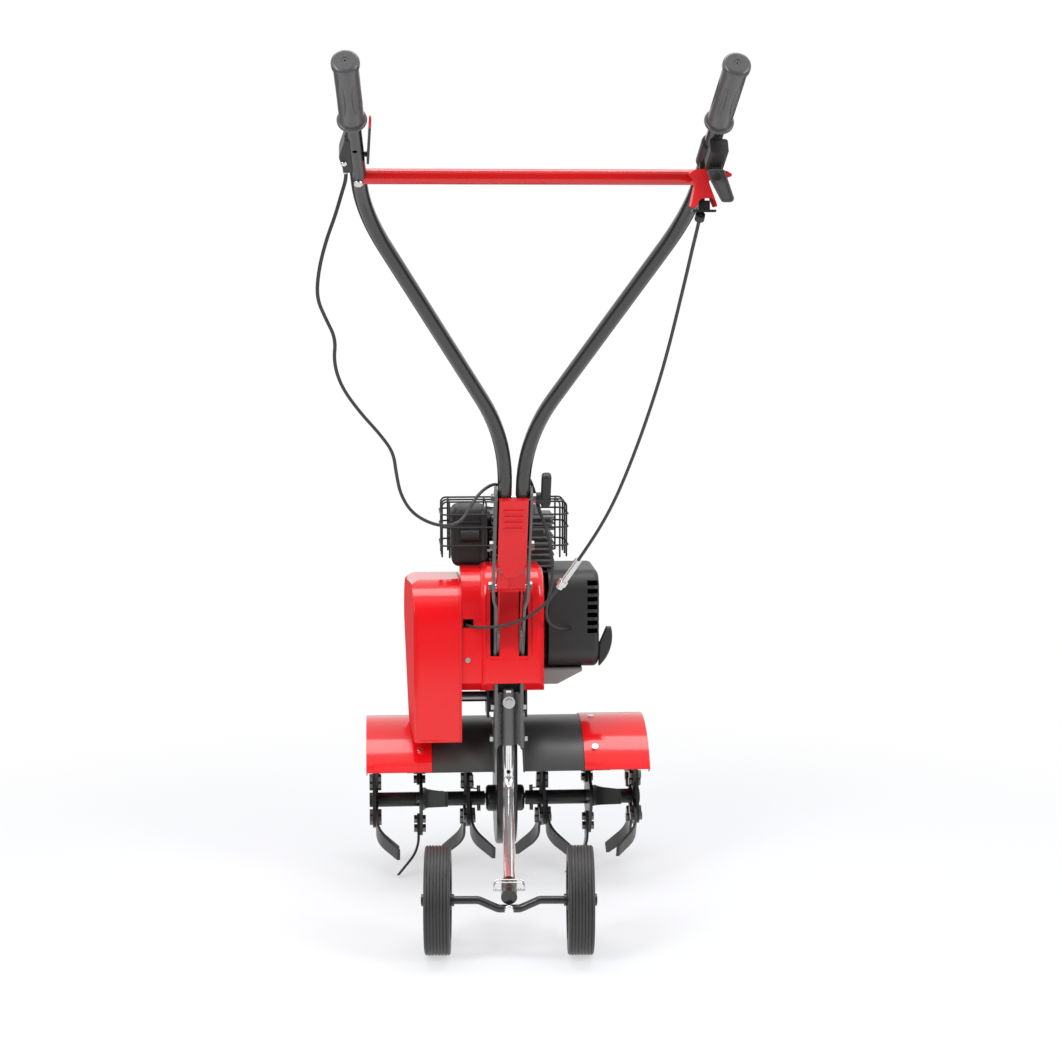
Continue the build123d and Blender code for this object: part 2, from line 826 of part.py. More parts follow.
def blade():
    """One curved blade, pointing up from the axle and bent towards +X."""
    bend = math.radians(BLADE_BEND)
    half = BLADE_T / 2
    centre = (BLADE_BEND_R, BLADE_BEND_AT)

    def on_bend(radius, angle):
        return (centre[0] - radius * math.cos(angle), centre[1] + radius * math.sin(angle))

    def tip(radius):
        x, z = on_bend(radius, bend)
        return (x + (TINE_R - z) * math.tan(bend), TINE_R)

    outer = BLADE_BEND_R + half
    inner = BLADE_BEND_R - half
    edges = [
        Line((-half, BLADE_ROOT), (-half, BLADE_BEND_AT)),
        ThreePointArc((-half, BLADE_BEND_AT), on_bend(outer, bend / 2), on_bend(outer, bend)),
        Line(on_bend(outer, bend), tip(outer)),
        Line(tip(outer), tip(inner)),
        Line(tip(inner), on_bend(inner, bend)),
        ThreePointArc(on_bend(inner, bend), on_bend(inner, bend / 2), (half, BLADE_BEND_AT)),
        Line((half, BLADE_BEND_AT), (half, BLADE_ROOT)),
        Line((half, BLADE_ROOT), (-half, BLADE_ROOT)),
    ]
    bar = extrude(Plane.XZ * make_face(edges), BLADE_WIDTH / 2, both=True)
    side = BLADE_WIDTH / 2
    narrow = side - BLADE_WIDTH + BLADE_TIP_WIDTH
    wedge = make_face(Polyline((side, BLADE_BEND_AT), (side, TINE_R), (narrow, TINE_R), close=True))
    bar -= prism(wedge, -TINE_R, TINE_R)
    for radius in BLADE_BOLTS:
        bar -= rod_x(-BLADE_T, BLADE_T, 0, radius, LARGE_BOLT[2] + FIT)
    return bar


def blade_places(side):
    """Plate X, turn and bend sign of each blade on one side, sets at 45 degrees to each other in turn."""
    places = []
    for n in range(TINE_SETS):
        x = side * (TINE_INNER_X + n * TINE_STEP_X)
        first = 0 if n % 2 else 180 / BLADES
        for k in range(BLADES):
            outermost = n == TINE_SETS - 1
            bend = -side if outermost else (1 if k % 2 else -1)
            places.append((x, first + k * 360 / BLADES, bend))
    return places


def tines(side):
    """The twelve blades of one side."""
    straight = blade()
    flipped = mirror(straight, about=Plane.YZ)
    solids = []
    for x, turn, bend in blade_places(side):
        seat = x + bend * (TINE_PLATE_T + BLADE_T) / 2
        solids.append(Pos(seat, 0, AXLE_Z) * Rot(turn, 0, 0) * (straight if bend > 0 else flipped))
    return Compound(children=solids)


def hub(side):
    """Hub tube of one side, its bore relieved beyond the shaft, with its welded tine plates."""
    sleeve = ring_x(side * HUB_IN_X, side * HUB_OUT_X, 0, AXLE_Z, HUB_R, SHAFT_R + FIT)
    sleeve -= rod_x(side * RELIEF_X, side * HUB_OUT_X, 0, AXLE_Z, SHAFT_R + HUB_RELIEF)
    pin = HUB_R + HUB_PIN_PROUD
    x = side * HUB_PIN_X
    solids = [sleeve - rod((x, 0, AXLE_Z - pin), (x, 0, AXLE_Z + pin), HUB_PIN_R + FIT)]
    for n in range(TINE_SETS):
        x = side * (TINE_INNER_X + n * TINE_STEP_X)
        turn = 180 / BLADES if n % 2 else 0
        square = RectangleRounded(TINE_PLATE_SIDE, TINE_PLATE_SIDE, TINE_PLATE_CORNER) - Circle(HUB_R)
        sheet = prism(square, x - TINE_PLATE_T / 2, x + TINE_PLATE_T / 2)
        plate = Pos(0, 0, AXLE_Z) * Rot(turn, 0, 0) * sheet
        for k in range(BLADES):
            for radius in BLADE_BOLTS:
                angle = math.radians(turn + (k + 0.5) * 360 / BLADES)
                y = radius * math.sin(angle)
                z = AXLE_Z + radius * math.cos(angle)
                plate -= rod_x(x - TINE_PLATE_T, x + TINE_PLATE_T, y, z, LARGE_BOLT[2] + FIT)
        solids.append(plate)
    return Compound(children=solids)


def tine_shaft():
    """Shaft through the chain case, cross drilled for the hub pins."""
    shaft = rod_x(-SHAFT_END_X, SHAFT_END_X, 0, AXLE_Z, SHAFT_R)
    for side in (1, -1):
        x = side * HUB_PIN_X
        shaft -= rod((x, 0, AXLE_Z - HUB_R), (x, 0, AXLE_Z + HUB_R), HUB_PIN_R + FIT)
    return shaft


def blade_bolt():
    """Bolt and nut through a blade and its plate, the blade's face at X = 0 and the head towards +X."""
    across, head, shank, _ = LARGE_BOLT
    grip = TINE_PLATE_T + BLADE_T
    hexagon = RegularPolygon(across / 2, 6, major_radius=False)
    body = prism(hexagon, 0, head)
    body += prism(hexagon, -grip - head, -grip)
    return body + rod_x(-grip, 0, 0, 0, shank)


def hub_pin(side):
    """Hub pin with its spring clip."""
    x = side * HUB_PIN_X
    half = HUB_R + HUB_PIN_PROUD
    clip_z = AXLE_Z + HUB_R + HUB_PIN_PROUD / 2
    pin = rod((x, 0, AXLE_Z - half), (x, 0, AXLE_Z + half), HUB_PIN_R)
    leg = rod((x, -CLIP_LEG, clip_z), (x, CLIP_LEG, clip_z), CLIP_WIRE_R + FIT)
    reach = side * CLIP_WIDTH
    path = [
        (x, -CLIP_LEG, clip_z),
        (x, CLIP_LEG, clip_z),
        (x + reach, CLIP_LEG, clip_z),
        (x + reach, -CLIP_LEG / 2, clip_z),
    ]
    clip = tube(path, CLIP_WIDTH * CORD_TURN_SHARE, CLIP_WIRE_R)
    return [pin - leg, clip]


def set_down(piece):
    """Piece of the rotor, turned until it stands on a corner of its lowest blades."""
    return Pos(0, 0, AXLE_Z) * Rot(ROTOR_TURN, 0, 0) * Pos(0, 0, -AXLE_Z) * piece


def rotor_pins():
    """Blade bolts, hub pins and clips of both sides."""
    straight = blade_bolt()
    flipped = mirror(straight, about=Plane.YZ)
    solids = []
    for side in (1, -1):
        for x, turn, bend in blade_places(side):
            seat = x + bend * (TINE_PLATE_T / 2 + BLADE_T)
            for radius in BLADE_BOLTS:
                place = Pos(seat, 0, AXLE_Z) * Rot(turn, 0, 0) * Pos(0, 0, radius)
                solids.append(place * (straight if bend > 0 else flipped))
        solids += hub_pin(side)
    return Compound(children=solids)


# Chain drive

def seats(pitch_r, teeth, y, z, start, half_wrap):
    """Roller seats of a sprocket that the chain wraps, as (Y, Z), from one end of the wrap to the other."""
    step = 2 * math.pi / teeth
    count = math.floor(half_wrap / step)
    angles = [start + k * step for k in range(-count, count + 1)]
    return [(y + pitch_r * math.cos(a), z + pitch_r * math.sin(a)) for a in angles]


def chain_rollers():
    """Roller centres round the whole chain, as (Y, Z)."""
    span = math.hypot(COUNTER_Y, COUNTER_RISE)
    lean_in = math.asin((LARGE_PITCH_R - PINION_PITCH_R) / span)
    low = seats(LARGE_PITCH_R, LARGE_TEETH, 0, AXLE_Z, CHAIN_WAY + math.pi, math.pi / 2 + lean_in)
    high = seats(PINION_PITCH_R, PINION_TEETH, COUNTER_Y, COUNTER_Z, CHAIN_WAY, math.pi / 2 - lean_in)

    def run(start, end):
        links = max(1, round(math.dist(start, end) / CHAIN_PITCH))
        shares = [k / links for k in range(1, links)]
        return [(start[0] + (end[0] - start[0]) * s, start[1] + (end[1] - start[1]) * s) for s in shares]

    return low + run(low[-1], high[0]) + high + run(high[-1], low[0])


def drive_chain():
    """Roller chain: two bands of link plates joined by the rollers."""
    rollers = chain_rollers()
    count = len(rollers)
    outside = []
    inside = []
    for n, (y, z) in enumerate(rollers):
        before = rollers[n - 1]
        after = rollers[(n + 1) % count]
        along = (after[0] - before[0], after[1] - before[1])
        length = math.hypot(*along)
        out = (along[1] / length * LINK_HEIGHT / 2, -along[0] / length * LINK_HEIGHT / 2)
        outside.append((y + out[0], z + out[1]))
        inside.append((y - out[0], z - out[1]))
    band = make_face(Polyline(*outside, close=True)) - make_face(Polyline(*inside, close=True))
    edge = ROLLER_LENGTH / 2
    chain = prism(band, edge, edge + LINK_T) + prism(band, -edge - LINK_T, -edge)
    return chain + [rod_x(-edge, edge, y, z, ROLLER_R) for y, z in rollers]


def sprocket(pitch_r, teeth, y, z, start, bore):
    """Toothed disc cut to seat the chain's rollers."""
    disc = ring_x(-SPROCKET_T / 2, SPROCKET_T / 2, y, z, pitch_r + TOOTH_HEIGHT, bore)
    cuts = []
    for k in range(teeth):
        angle = start + k * 2 * math.pi / teeth
        for radius, clear in ((pitch_r, SEAT_CLEAR), (pitch_r + TOOTH_MOUTH, MOUTH_CLEAR)):
            seat_y = y + radius * math.cos(angle)
            seat_z = z + radius * math.sin(angle)
            cuts.append(rod_x(-SPROCKET_T, SPROCKET_T, seat_y, seat_z, ROLLER_R + clear))
    return disc - cuts


def large_sprocket():
    """Sprocket on the tine shaft."""
    return sprocket(LARGE_PITCH_R, LARGE_TEETH, 0, AXLE_Z, CHAIN_WAY + math.pi, SHAFT_R)


def countershaft():
    """Countershaft with its pinion, from the right bearing to the driven pulley."""
    right = CAVITY_HALF + TOP_BEARING_W
    left = BELT_X - PULLEY_W
    pinion = sprocket(PINION_PITCH_R, PINION_TEETH, COUNTER_Y, COUNTER_Z, CHAIN_WAY, COUNTER_R)
    return rod_x(left, right, COUNTER_Y, COUNTER_Z, COUNTER_R) + pinion


def case_bolt_places():
    """Bolts round the flange of the chain case, on its right face."""
    low_r = CASE_LOW_R + CASE_FLANGE / 2
    high_r = CASE_TOP_R + CASE_FLANGE / 2
    places = []
    for n in range(CASE_BOLTS_ROUND):
        angle = CHAIN_WAY + math.pi + (n - (CASE_BOLTS_ROUND - 1) / 2) * math.pi / CASE_BOLTS_ROUND
        places.append((low_r * math.cos(angle), AXLE_Z + low_r * math.sin(angle)))
    for n in (-1, 0, 1):
        angle = CHAIN_WAY + n * math.pi / 3
        places.append((COUNTER_Y + high_r * math.cos(angle), COUNTER_Z + high_r * math.sin(angle)))
    size = CASE_BOLT + (2 * FLANGE_T + CASE_BOLT_PROUD,)
    return [((FLANGE_T, y, z), (1, 0, 0), size) for y, z in places]


def chain_case(side):
    """One pressed half of the chain case with its bearing bosses and seam flange."""
    low = (0, AXLE_Z)
    high = (COUNTER_Y, COUNTER_Z)

    def outline(grow):
        return capsule(low, CASE_LOW_R + grow, high, CASE_TOP_R + grow)

    shell = prism(outline(0), 0, CASE_HALF)
    face = shell.faces().sort_by(Axis.X)[-1]
    shell = fillet(face.edges(), CASE_EDGE)
    shell += prism(outline(CASE_FLANGE), 0, FLANGE_T)
    boss = rod_x(0, LOW_BOSS_X, *low, LOW_BEARING_R + BOSS_WALL)
    boss_end = boss.faces().sort_by(Axis.X)[-1]
    shell += fillet(boss_end.edges(), BOSS_EDGE)
    shell += rod_x(0, TOP_BOSS_X, *high, TOP_BEARING_R + BOSS_WALL)
    shell -= prism(outline(-CASE_WALL), 0, CAVITY_HALF)
    shell -= rod_x(0, LOW_BOSS_X - BOSS_END, *low, LOW_BEARING_R)
    shell -= rod_x(0, LOW_BOSS_X, *low, SHAFT_R + SHAFT_HOLE_CLEAR)
    shell -= rod_x(0, TOP_BOSS_X - BOSS_END, *high, TOP_BEARING_R)
    shell = drilled(shell, case_bolt_places())
    if side > 0:
        return shell
    shell -= rod_x(0, TOP_BOSS_X, *high, COUNTER_R + SHAFT_HOLE_CLEAR)
    return mirror(shell, about=Plane.YZ)


def bearings():
    """Ball bearings of the tine shaft and of the countershaft."""
    low_end = CAVITY_HALF + LOW_BEARING_W
    top_end = CAVITY_HALF + TOP_BEARING_W
    low = ring_x(CAVITY_HALF, low_end, 0, AXLE_Z, LOW_BEARING_R - FIT, SHAFT_R + FIT)
    top = ring_x(CAVITY_HALF, top_end, COUNTER_Y, COUNTER_Z, TOP_BEARING_R - FIT, COUNTER_R + FIT)
    return Compound(children=both_sides(low) + both_sides(top))


# Belt drive

def pulley(y, z, pitch_r, bore):
    """Pulley with one V groove."""
    rim = pitch_r + PULLEY_RIM
    bottom = rim - GROOVE_DEPTH
    half = PULLEY_W / 2
    profile = Polyline(
        (-half, bore),
        (half, bore),
        (half, rim),
        (GROOVE_TOP, rim),
        (GROOVE_BOTTOM, bottom),
        (-GROOVE_BOTTOM, bottom),
        (-GROOVE_TOP, rim),
        (-half, rim),
        close=True,
    )
    turned = revolve(Plane.XZ * make_face(profile), Axis.X)
    return Pos(BELT_X, y, z) * turned


def v_belt():
    """Belt lying slack round both pulleys."""
    low = (COUNTER_Y, COUNTER_Z)
    high = (CRANK_Y, CRANK_Z)
    half = BELT_T / 2
    outer = capsule(low, DRIVEN_PULLEY_R + half, high, ENGINE_PULLEY_R + half)
    inner = capsule(low, DRIVEN_PULLEY_R - half, high, ENGINE_PULLEY_R - half)
    return prism(outer - inner, BELT_X - BELT_W / 2, BELT_X + BELT_W / 2)


def crankshaft():
    """Crankshaft from the engine pulley to the flywheel."""
    return rod_x(BELT_X - PULLEY_W, FLYWHEEL_LEFT + FLYWHEEL_W, CRANK_Y, CRANK_Z, CRANK_R)


def flywheel():
    """Flywheel with its fan vanes."""
    right = FLYWHEEL_LEFT + FLYWHEEL_W
    wheel = ring_x(FLYWHEEL_LEFT, right, CRANK_Y, CRANK_Z, FLYWHEEL_R, CRANK_R)
    vane = box(right, right + VANE_W, -VANE_T / 2, VANE_T / 2, VANE_IN_R, FLYWHEEL_R - VANE_IN)
    return wheel + [Pos(0, CRANK_Y, CRANK_Z) * Rot(k * 360 / VANES, 0, 0) * vane for k in range(VANES)]


# The idler runs inside the belt, against its rear run
RUN_LEAN = math.acos((DRIVEN_PULLEY_R - ENGINE_PULLEY_R) / math.hypot(CRANK_FORWARD, CRANK_RISE))
REAR_ANGLE = math.atan2(CRANK_RISE, CRANK_FORWARD) + RUN_LEAN
REAR_OUT = (math.cos(REAR_ANGLE), math.sin(REAR_ANGLE))
REAR_UP = (REAR_OUT[1], -REAR_OUT[0])
IDLER_FROM_RUN = BELT_T / 2 + IDLER_REST_GAP + IDLER_R


def belt_rear_middle():
    """Middle of the belt's rear run, on its centre line, as (Y, Z)."""
    low = (COUNTER_Y + DRIVEN_PULLEY_R * REAR_OUT[0], COUNTER_Z + DRIVEN_PULLEY_R * REAR_OUT[1])
    high = (CRANK_Y + ENGINE_PULLEY_R * REAR_OUT[0], CRANK_Z + ENGINE_PULLEY_R * REAR_OUT[1])
    return ((low[0] + high[0]) / 2, (low[1] + high[1]) / 2)


RUN_MIDDLE = belt_rear_middle()
IDLER_Y = RUN_MIDDLE[0] - REAR_OUT[0] * IDLER_FROM_RUN
IDLER_Z = RUN_MIDDLE[1] - REAR_OUT[1] * IDLER_FROM_RUN
ARM_Y = IDLER_Y + REAR_UP[0] * ARM_LENGTH
ARM_Z = IDLER_Z + REAR_UP[1] * ARM_LENGTH
TAIL_SHARE = ARM_TAIL / math.hypot(TAIL_LEAN, 1)
TAIL_Y = ARM_Y + (REAR_OUT[0] * TAIL_LEAN + REAR_UP[0]) * TAIL_SHARE
TAIL_Z = ARM_Z + (REAR_OUT[1] * TAIL_LEAN + REAR_UP[1]) * TAIL_SHARE
ARM_RIGHT = COVER_IN_X - ARM_CLEAR
ARM_LEFT = ARM_RIGHT - ARM_T


def idler_arm():
    """Bell crank on the back plate's stud, with the idler's pin."""
    lower = capsule((IDLER_Y, IDLER_Z), ARM_HALF, (ARM_Y, ARM_Z), ARM_EYE_R)
    upper = capsule((ARM_Y, ARM_Z), ARM_EYE_R, (TAIL_Y, TAIL_Z), ARM_END_R)
    arm = prism(lower, ARM_LEFT, ARM_RIGHT) + prism(upper, ARM_LEFT, ARM_RIGHT)
    arm += rod_x(BELT_X - IDLER_W / 2 - IDLER_PIN_PROUD, ARM_LEFT, IDLER_Y, IDLER_Z, IDLER_PIN_R)
    arm += rod_x(BELT_X + IDLER_W / 2 + GAP, ARM_LEFT, IDLER_Y, IDLER_Z, ARM_HALF)
    arm -= rod_x(ARM_LEFT, ARM_RIGHT, ARM_Y, ARM_Z, STUD_R + FIT)
    return arm - rod_x(ARM_LEFT, ARM_RIGHT, TAIL_Y, TAIL_Z, ARM_END_HOLE_R)


def idler_pulley():
    """Idler roller on the arm's pin."""
    half = IDLER_W / 2
    return ring_x(BELT_X - half, BELT_X + half, IDLER_Y, IDLER_Z, IDLER_R, IDLER_PIN_R + FIT)


def cover_outline(inset):
    """Side view of the belt cover, drawn in by an inset, flat behind and clear of the guard below."""
    back = HOOD_BACK
    foot = (back + COVER_FOOT_R, BRACKET_BOTTOM + COVER_FOOT_RISE + 2 * COVER_FOOT_R)
    corner = (back + COVER_BACK_R, CRANK_Z + COVER_TOP_R - COVER_BACK_R)
    return hull([
        (foot, COVER_FOOT_R - inset),
        ((COUNTER_Y, COUNTER_Z), COVER_LOW_R - inset),
        ((CRANK_Y, CRANK_Z), COVER_TOP_R - inset),
        (corner, COVER_BACK_R - inset),
    ])


def cover_body(inset):
    """Solid of the belt cover, drawn in by an inset: its side view cut to its rear view and its plan."""
    left = COVER_IN_X - COVER_DEPTH + inset
    low = BRACKET_BOTTOM + COVER_FOOT_RISE + COVER_FOOT_R + inset
    top = CRANK_Z + COVER_TOP_R - inset
    high_r = COVER_SIDE_TOP_R - inset
    low_r = COVER_SIDE_LOW_R - inset
    rear_view = hull([
        ((left + low_r, low + low_r), low_r),
        ((COVER_IN_X, low + low_r), low_r),
        ((COVER_IN_X, top - high_r), high_r),
        ((left + high_r, top - high_r), high_r),
    ])
    rear_view -= Pos(COVER_IN_X + COVER_DEPTH / 2, CRANK_Z) * Rectangle(COVER_DEPTH, 2 * CRANK_Z)
    body = prism(cover_outline(inset), left, COVER_IN_X)
    body &= extrude(Plane.XZ.offset(-BED_FRONT) * rear_view, BED_FRONT - 2 * HOOD_BACK)
    edge = COVER_EDGE - inset
    back = HOOD_BACK + inset + edge
    plan = hull([
        ((left + COVER_DRAFT + edge, back), edge),
        ((COVER_IN_X + edge, back), edge),
        ((COVER_IN_X + edge, BED_FRONT), edge),
        ((left + edge, BED_FRONT), edge),
    ])
    return body & extrude(plan, CRANK_Z + COVER_TOP_R)


def belt_cover():
    """Pressed cover over the belt drive."""
    return cover_body(0) - cover_body(COVER_WALL)


def belt_backplate():
    """Plate that carries the belt cover and the stud of the idler arm."""
    plate = prism(cover_outline(0), COVER_IN_X, BACKPLATE_RIGHT)
    plate -= rod_x(COVER_IN_X, BACKPLATE_RIGHT, CRANK_Y, CRANK_Z, CRANK_R + SHAFT_HOLE_CLEAR)
    plate -= rod_x(COVER_IN_X, BACKPLATE_RIGHT, COUNTER_Y, COUNTER_Z, COUNTER_R + SHAFT_HOLE_CLEAR)
    plate += rod_x(ARM_RIGHT + GAP, COVER_IN_X, ARM_Y, ARM_Z, ARM_HALF)
    return plate + rod_x(ARM_LEFT - STUD_PROUD, ARM_RIGHT + GAP, ARM_Y, ARM_Z, STUD_R)


# Chassis

def engine_bed():
    """Plate under the engine with the lugs that hold the chain case."""
    bed = box(BED_LEFT, BED_RIGHT, BED_BACK, BED_FRONT, BED_BOTTOM, BED_TOP)
    corners = bed.edges().filter_by(Axis.Z).sort_by(Axis.Y)[:2]
    bed = fillet(corners, HOOD_EDGE)
    bed += box(BACKPLATE_RIGHT, BED_LEFT, HOOD_FRONT, BED_FRONT, BED_BOTTOM, BED_TOP)
    lug = box(
        TOP_BOSS_X, TOP_BOSS_X + LUG_T, COUNTER_Y - LUG_HALF, COUNTER_Y + LUG_HALF,
        COUNTER_Z - LUG_HALF, BED_BOTTOM,
    )
    lug -= rod_x(TOP_BOSS_X, TOP_BOSS_X + LUG_T, COUNTER_Y, COUNTER_Z, COUNTER_R + SHAFT_HOLE_CLEAR)
    return bed + both_sides(lug)


def bracket_bolts():
    """Cross bolts of the rear bracket, on its right wall and then on its left."""
    across, head, shank = LARGE_BOLT[:3]
    grip_length = BRACKET_T + HOLDER_WALL
    places = []
    for side in (1, -1):
        low = (side * (BRACKET_OUT_X + GUARD_T), STRUT_Y, BRACKET_BOTTOM + BRACKET_BOLT_LOW)
        high = (side * BRACKET_OUT_X, STRUT_Y, BRACKET_BOTTOM + BRACKET_BOLT_HIGH)
        places.append((low, (side, 0, 0), (across, head, shank, grip_length + GUARD_T)))
        places.append((high, (side, 0, 0), (across, head, shank, grip_length)))
    return places


def rear_bracket():
    """Channel under the bed, open to the rear, that takes the strut holder."""
    wall = box(BRACKET_IN_X, BRACKET_OUT_X, BRACKET_BACK, BRACKET_FRONT, BRACKET_BOTTOM, BED_BOTTOM)
    web = box(
        -BRACKET_OUT_X, BRACKET_OUT_X, BRACKET_FRONT - BRACKET_WEB, BRACKET_FRONT, BRACKET_BOTTOM, BED_BOTTOM
    )
    return drilled(web + both_sides(wall), bracket_bolts())


def holder_bolt():
    """Clamp bolt on the rear of the strut sleeve, over its washer."""
    seat = (0, STRUT_Y - SLEEVE_R - WASHER_T, HOLDER_TOP - HOLDER_BOLT_DOWN)
    return (seat, (0, -1, 0), HOLDER_BOLT + (WASHER_T + SLEEVE_R - STRUT_R - GAP,))


def holder_washer():
    """Washer under the clamp bolt of the strut sleeve."""
    z = HOLDER_TOP - HOLDER_BOLT_DOWN
    rear = STRUT_Y - SLEEVE_R
    disc = rod((0, rear, z), (0, rear - WASHER_T, z), WASHER_R)
    return disc - bolt_hole(*holder_bolt())


def strut_holder():
    """Channel between the walls of the rear bracket, with the welded sleeve that guides the wheel strut."""
    half = BRACKET_IN_X
    front = BRACKET_FRONT - BRACKET_WEB
    rear = BRACKET_BACK + HOLDER_IN
    leg = box(half - HOLDER_WALL, half, rear, front, HOLDER_BOTTOM, HOLDER_TOP)
    plate = box(-half, half, STRUT_Y - HOLDER_PLATE, STRUT_Y, HOLDER_BOTTOM, HOLDER_TOP)
    holder = plate + both_sides(leg)
    holder += rod((0, STRUT_Y, HOLDER_BOTTOM), (0, STRUT_Y, HOLDER_TOP), SLEEVE_R)
    pitch = (HOLDER_TOP - HOLDER_BOTTOM) / (WELDS + 2)
    for n in range(WELDS):
        for side in (1, -1):
            bead = Pos(side * SLEEVE_R, STRUT_Y - HOLDER_PLATE, HOLDER_BOTTOM + (n + 1) * pitch)
            holder += bead * Sphere(WELD_R)
    holder -= rod((0, STRUT_Y, HOLDER_BOTTOM), (0, STRUT_Y, HOLDER_TOP), STRUT_R + STRUT_FIT)
    return drilled(holder, bracket_bolts() + [holder_bolt()])


def round_axle(radius, angle):
    """Point at a radius and an angle forwards from the top about the tine axle, as (Y, Z)."""
    turn = math.radians(angle)
    return (radius * math.sin(turn), AXLE_Z + radius * math.cos(turn))


def arc_sheet(in_r, out_r, start, end):
    """Band between two radii and two angles about the tine axle."""
    middle = (start + end) / 2
    edges = [
        ThreePointArc(round_axle(out_r, start), round_axle(out_r, middle), round_axle(out_r, end)),
        Line(round_axle(out_r, end), round_axle(in_r, end)),
        ThreePointArc(round_axle(in_r, end), round_axle(in_r, middle), round_axle(in_r, start)),
        Line(round_axle(in_r, start), round_axle(out_r, start)),
    ]
    return make_face(edges)


def fender_bolts():
    """Bolts through each fender and the guard under it, one more on the right where no cover is over it."""
    turns = [(side, angle) for side in (1, -1) for angle in FENDER_BOLT_ANGLES] + [(1, FENDER_TOP_BOLT)]
    places = []
    for side, angle in turns:
        y, z = round_axle(FENDER_OUT_R, angle)
        places.append(((side * FENDER_BOLT_X, y, z), (0, y, z - AXLE_Z), SMALL_BOLT))
    return places


def tine_guard():
    """Rolled sheet over the rotor, slotted for the chain case, with tabs on the rear bracket."""
    arch = arc_sheet(GUARD_IN_R, GUARD_OUT_R, GUARD_BACK_ANGLE, GUARD_FRONT_ANGLE)
    sheet = prism(arch, -GUARD_HALF, GUARD_HALF)
    slot = arc_sheet(
        GUARD_IN_R - GUARD_T, GUARD_OUT_R + GUARD_T, GUARD_BACK_ANGLE - GUARD_T, GUARD_SLOT_FRONT
    )
    sheet -= prism(slot, -BRACKET_OUT_X, BRACKET_OUT_X)
    low = round_axle(GUARD_OUT_R, GUARD_BACK_ANGLE)[1]
    high = BRACKET_BOTTOM + GUARD_TAB
    tab = box(BRACKET_OUT_X, BRACKET_OUT_X + GUARD_T, BRACKET_BACK, BRACKET_FRONT - BRACKET_WEB, low, high)
    tab -= rod_x(BRACKET_OUT_X, BRACKET_OUT_X + GUARD_T, 0, AXLE_Z, GUARD_IN_R + GUARD_T / 2)
    return drilled(sheet + both_sides(tab), fender_bolts() + bracket_bolts())


def fender(side):
    """Painted sheet over one end of the rotor, with a turned-in outer edge."""
    sheet = prism(
        arc_sheet(GUARD_OUT_R, FENDER_OUT_R, GUARD_BACK_ANGLE, GUARD_FRONT_ANGLE), FENDER_IN_X, FENDER_OUT_X
    )
    lip = arc_sheet(FENDER_OUT_R - FENDER_LIP, FENDER_OUT_R, GUARD_BACK_ANGLE, GUARD_FRONT_ANGLE)
    sheet += prism(lip, FENDER_OUT_X - FENDER_T, FENDER_OUT_X)
    sheet = sheet if side > 0 else mirror(sheet, about=Plane.YZ)
    return drilled(sheet, fender_bolts())


def hood_outline(inset, past, step):
    """Side view of the hood, drawn in by an inset, run past its open ends and set back by a step."""
    back = HOOD_BACK + step + inset
    top = HOOD_TOP - step - inset
    radius = HOOD_ROUND - inset
    front = HOOD_FRONT + past
    bottom = HOOD_BOTTOM - past
    corner = radius * (1 - math.sqrt(0.5))
    chin = HOOD_BACK + step + HOOD_BOTTOM + HOOD_CHIN + inset * math.sqrt(2)
    edges = [
        Line((chin - bottom, bottom), (back, chin - back)),
        Line((back, chin - back), (back, top - radius)),
        ThreePointArc((back, top - radius), (back + corner, top - corner), (back + radius, top)),
        Line((back + radius, top), (front, top)),
        Line((front, top), (front, bottom)),
        Line((front, bottom), (chin - bottom, bottom)),
    ]
    return make_face(edges)


def hood_body(inset, past):
    """Solid of the hood, drawn in by an inset: a main part with rounded edges beside a set-back strip."""
    left = BACKPLATE_RIGHT + HOOD_STRIP + inset
    main = prism(hood_outline(inset, past, 0), left, HOOD_RIGHT - inset)
    faces = [main.faces().sort_by(Axis.X)[0], main.faces().sort_by(Axis.X)[-1]]
    edges = [
        edge for face in faces for edge in face.edges()
        if edge.center().Y < HOOD_FRONT - GAP and edge.center().Z > HOOD_BOTTOM + HOOD_CHIN
    ]
    main = fillet(edges, HOOD_EDGE - inset)
    return main + prism(hood_outline(inset, past, HOOD_STEP), BACKPLATE_RIGHT + inset, left + HOOD_EDGE)


def hood_screws():
    """Screw of the hood, on its set-back strip."""
    seat = (BACKPLATE_RIGHT + HOOD_STRIP / 3, HOOD_BACK + HOOD_STEP, PANEL_BOTTOM)
    return [(seat, (0, -1, 0), HOOD_SCREW + (HOOD_WALL + GAP,))]


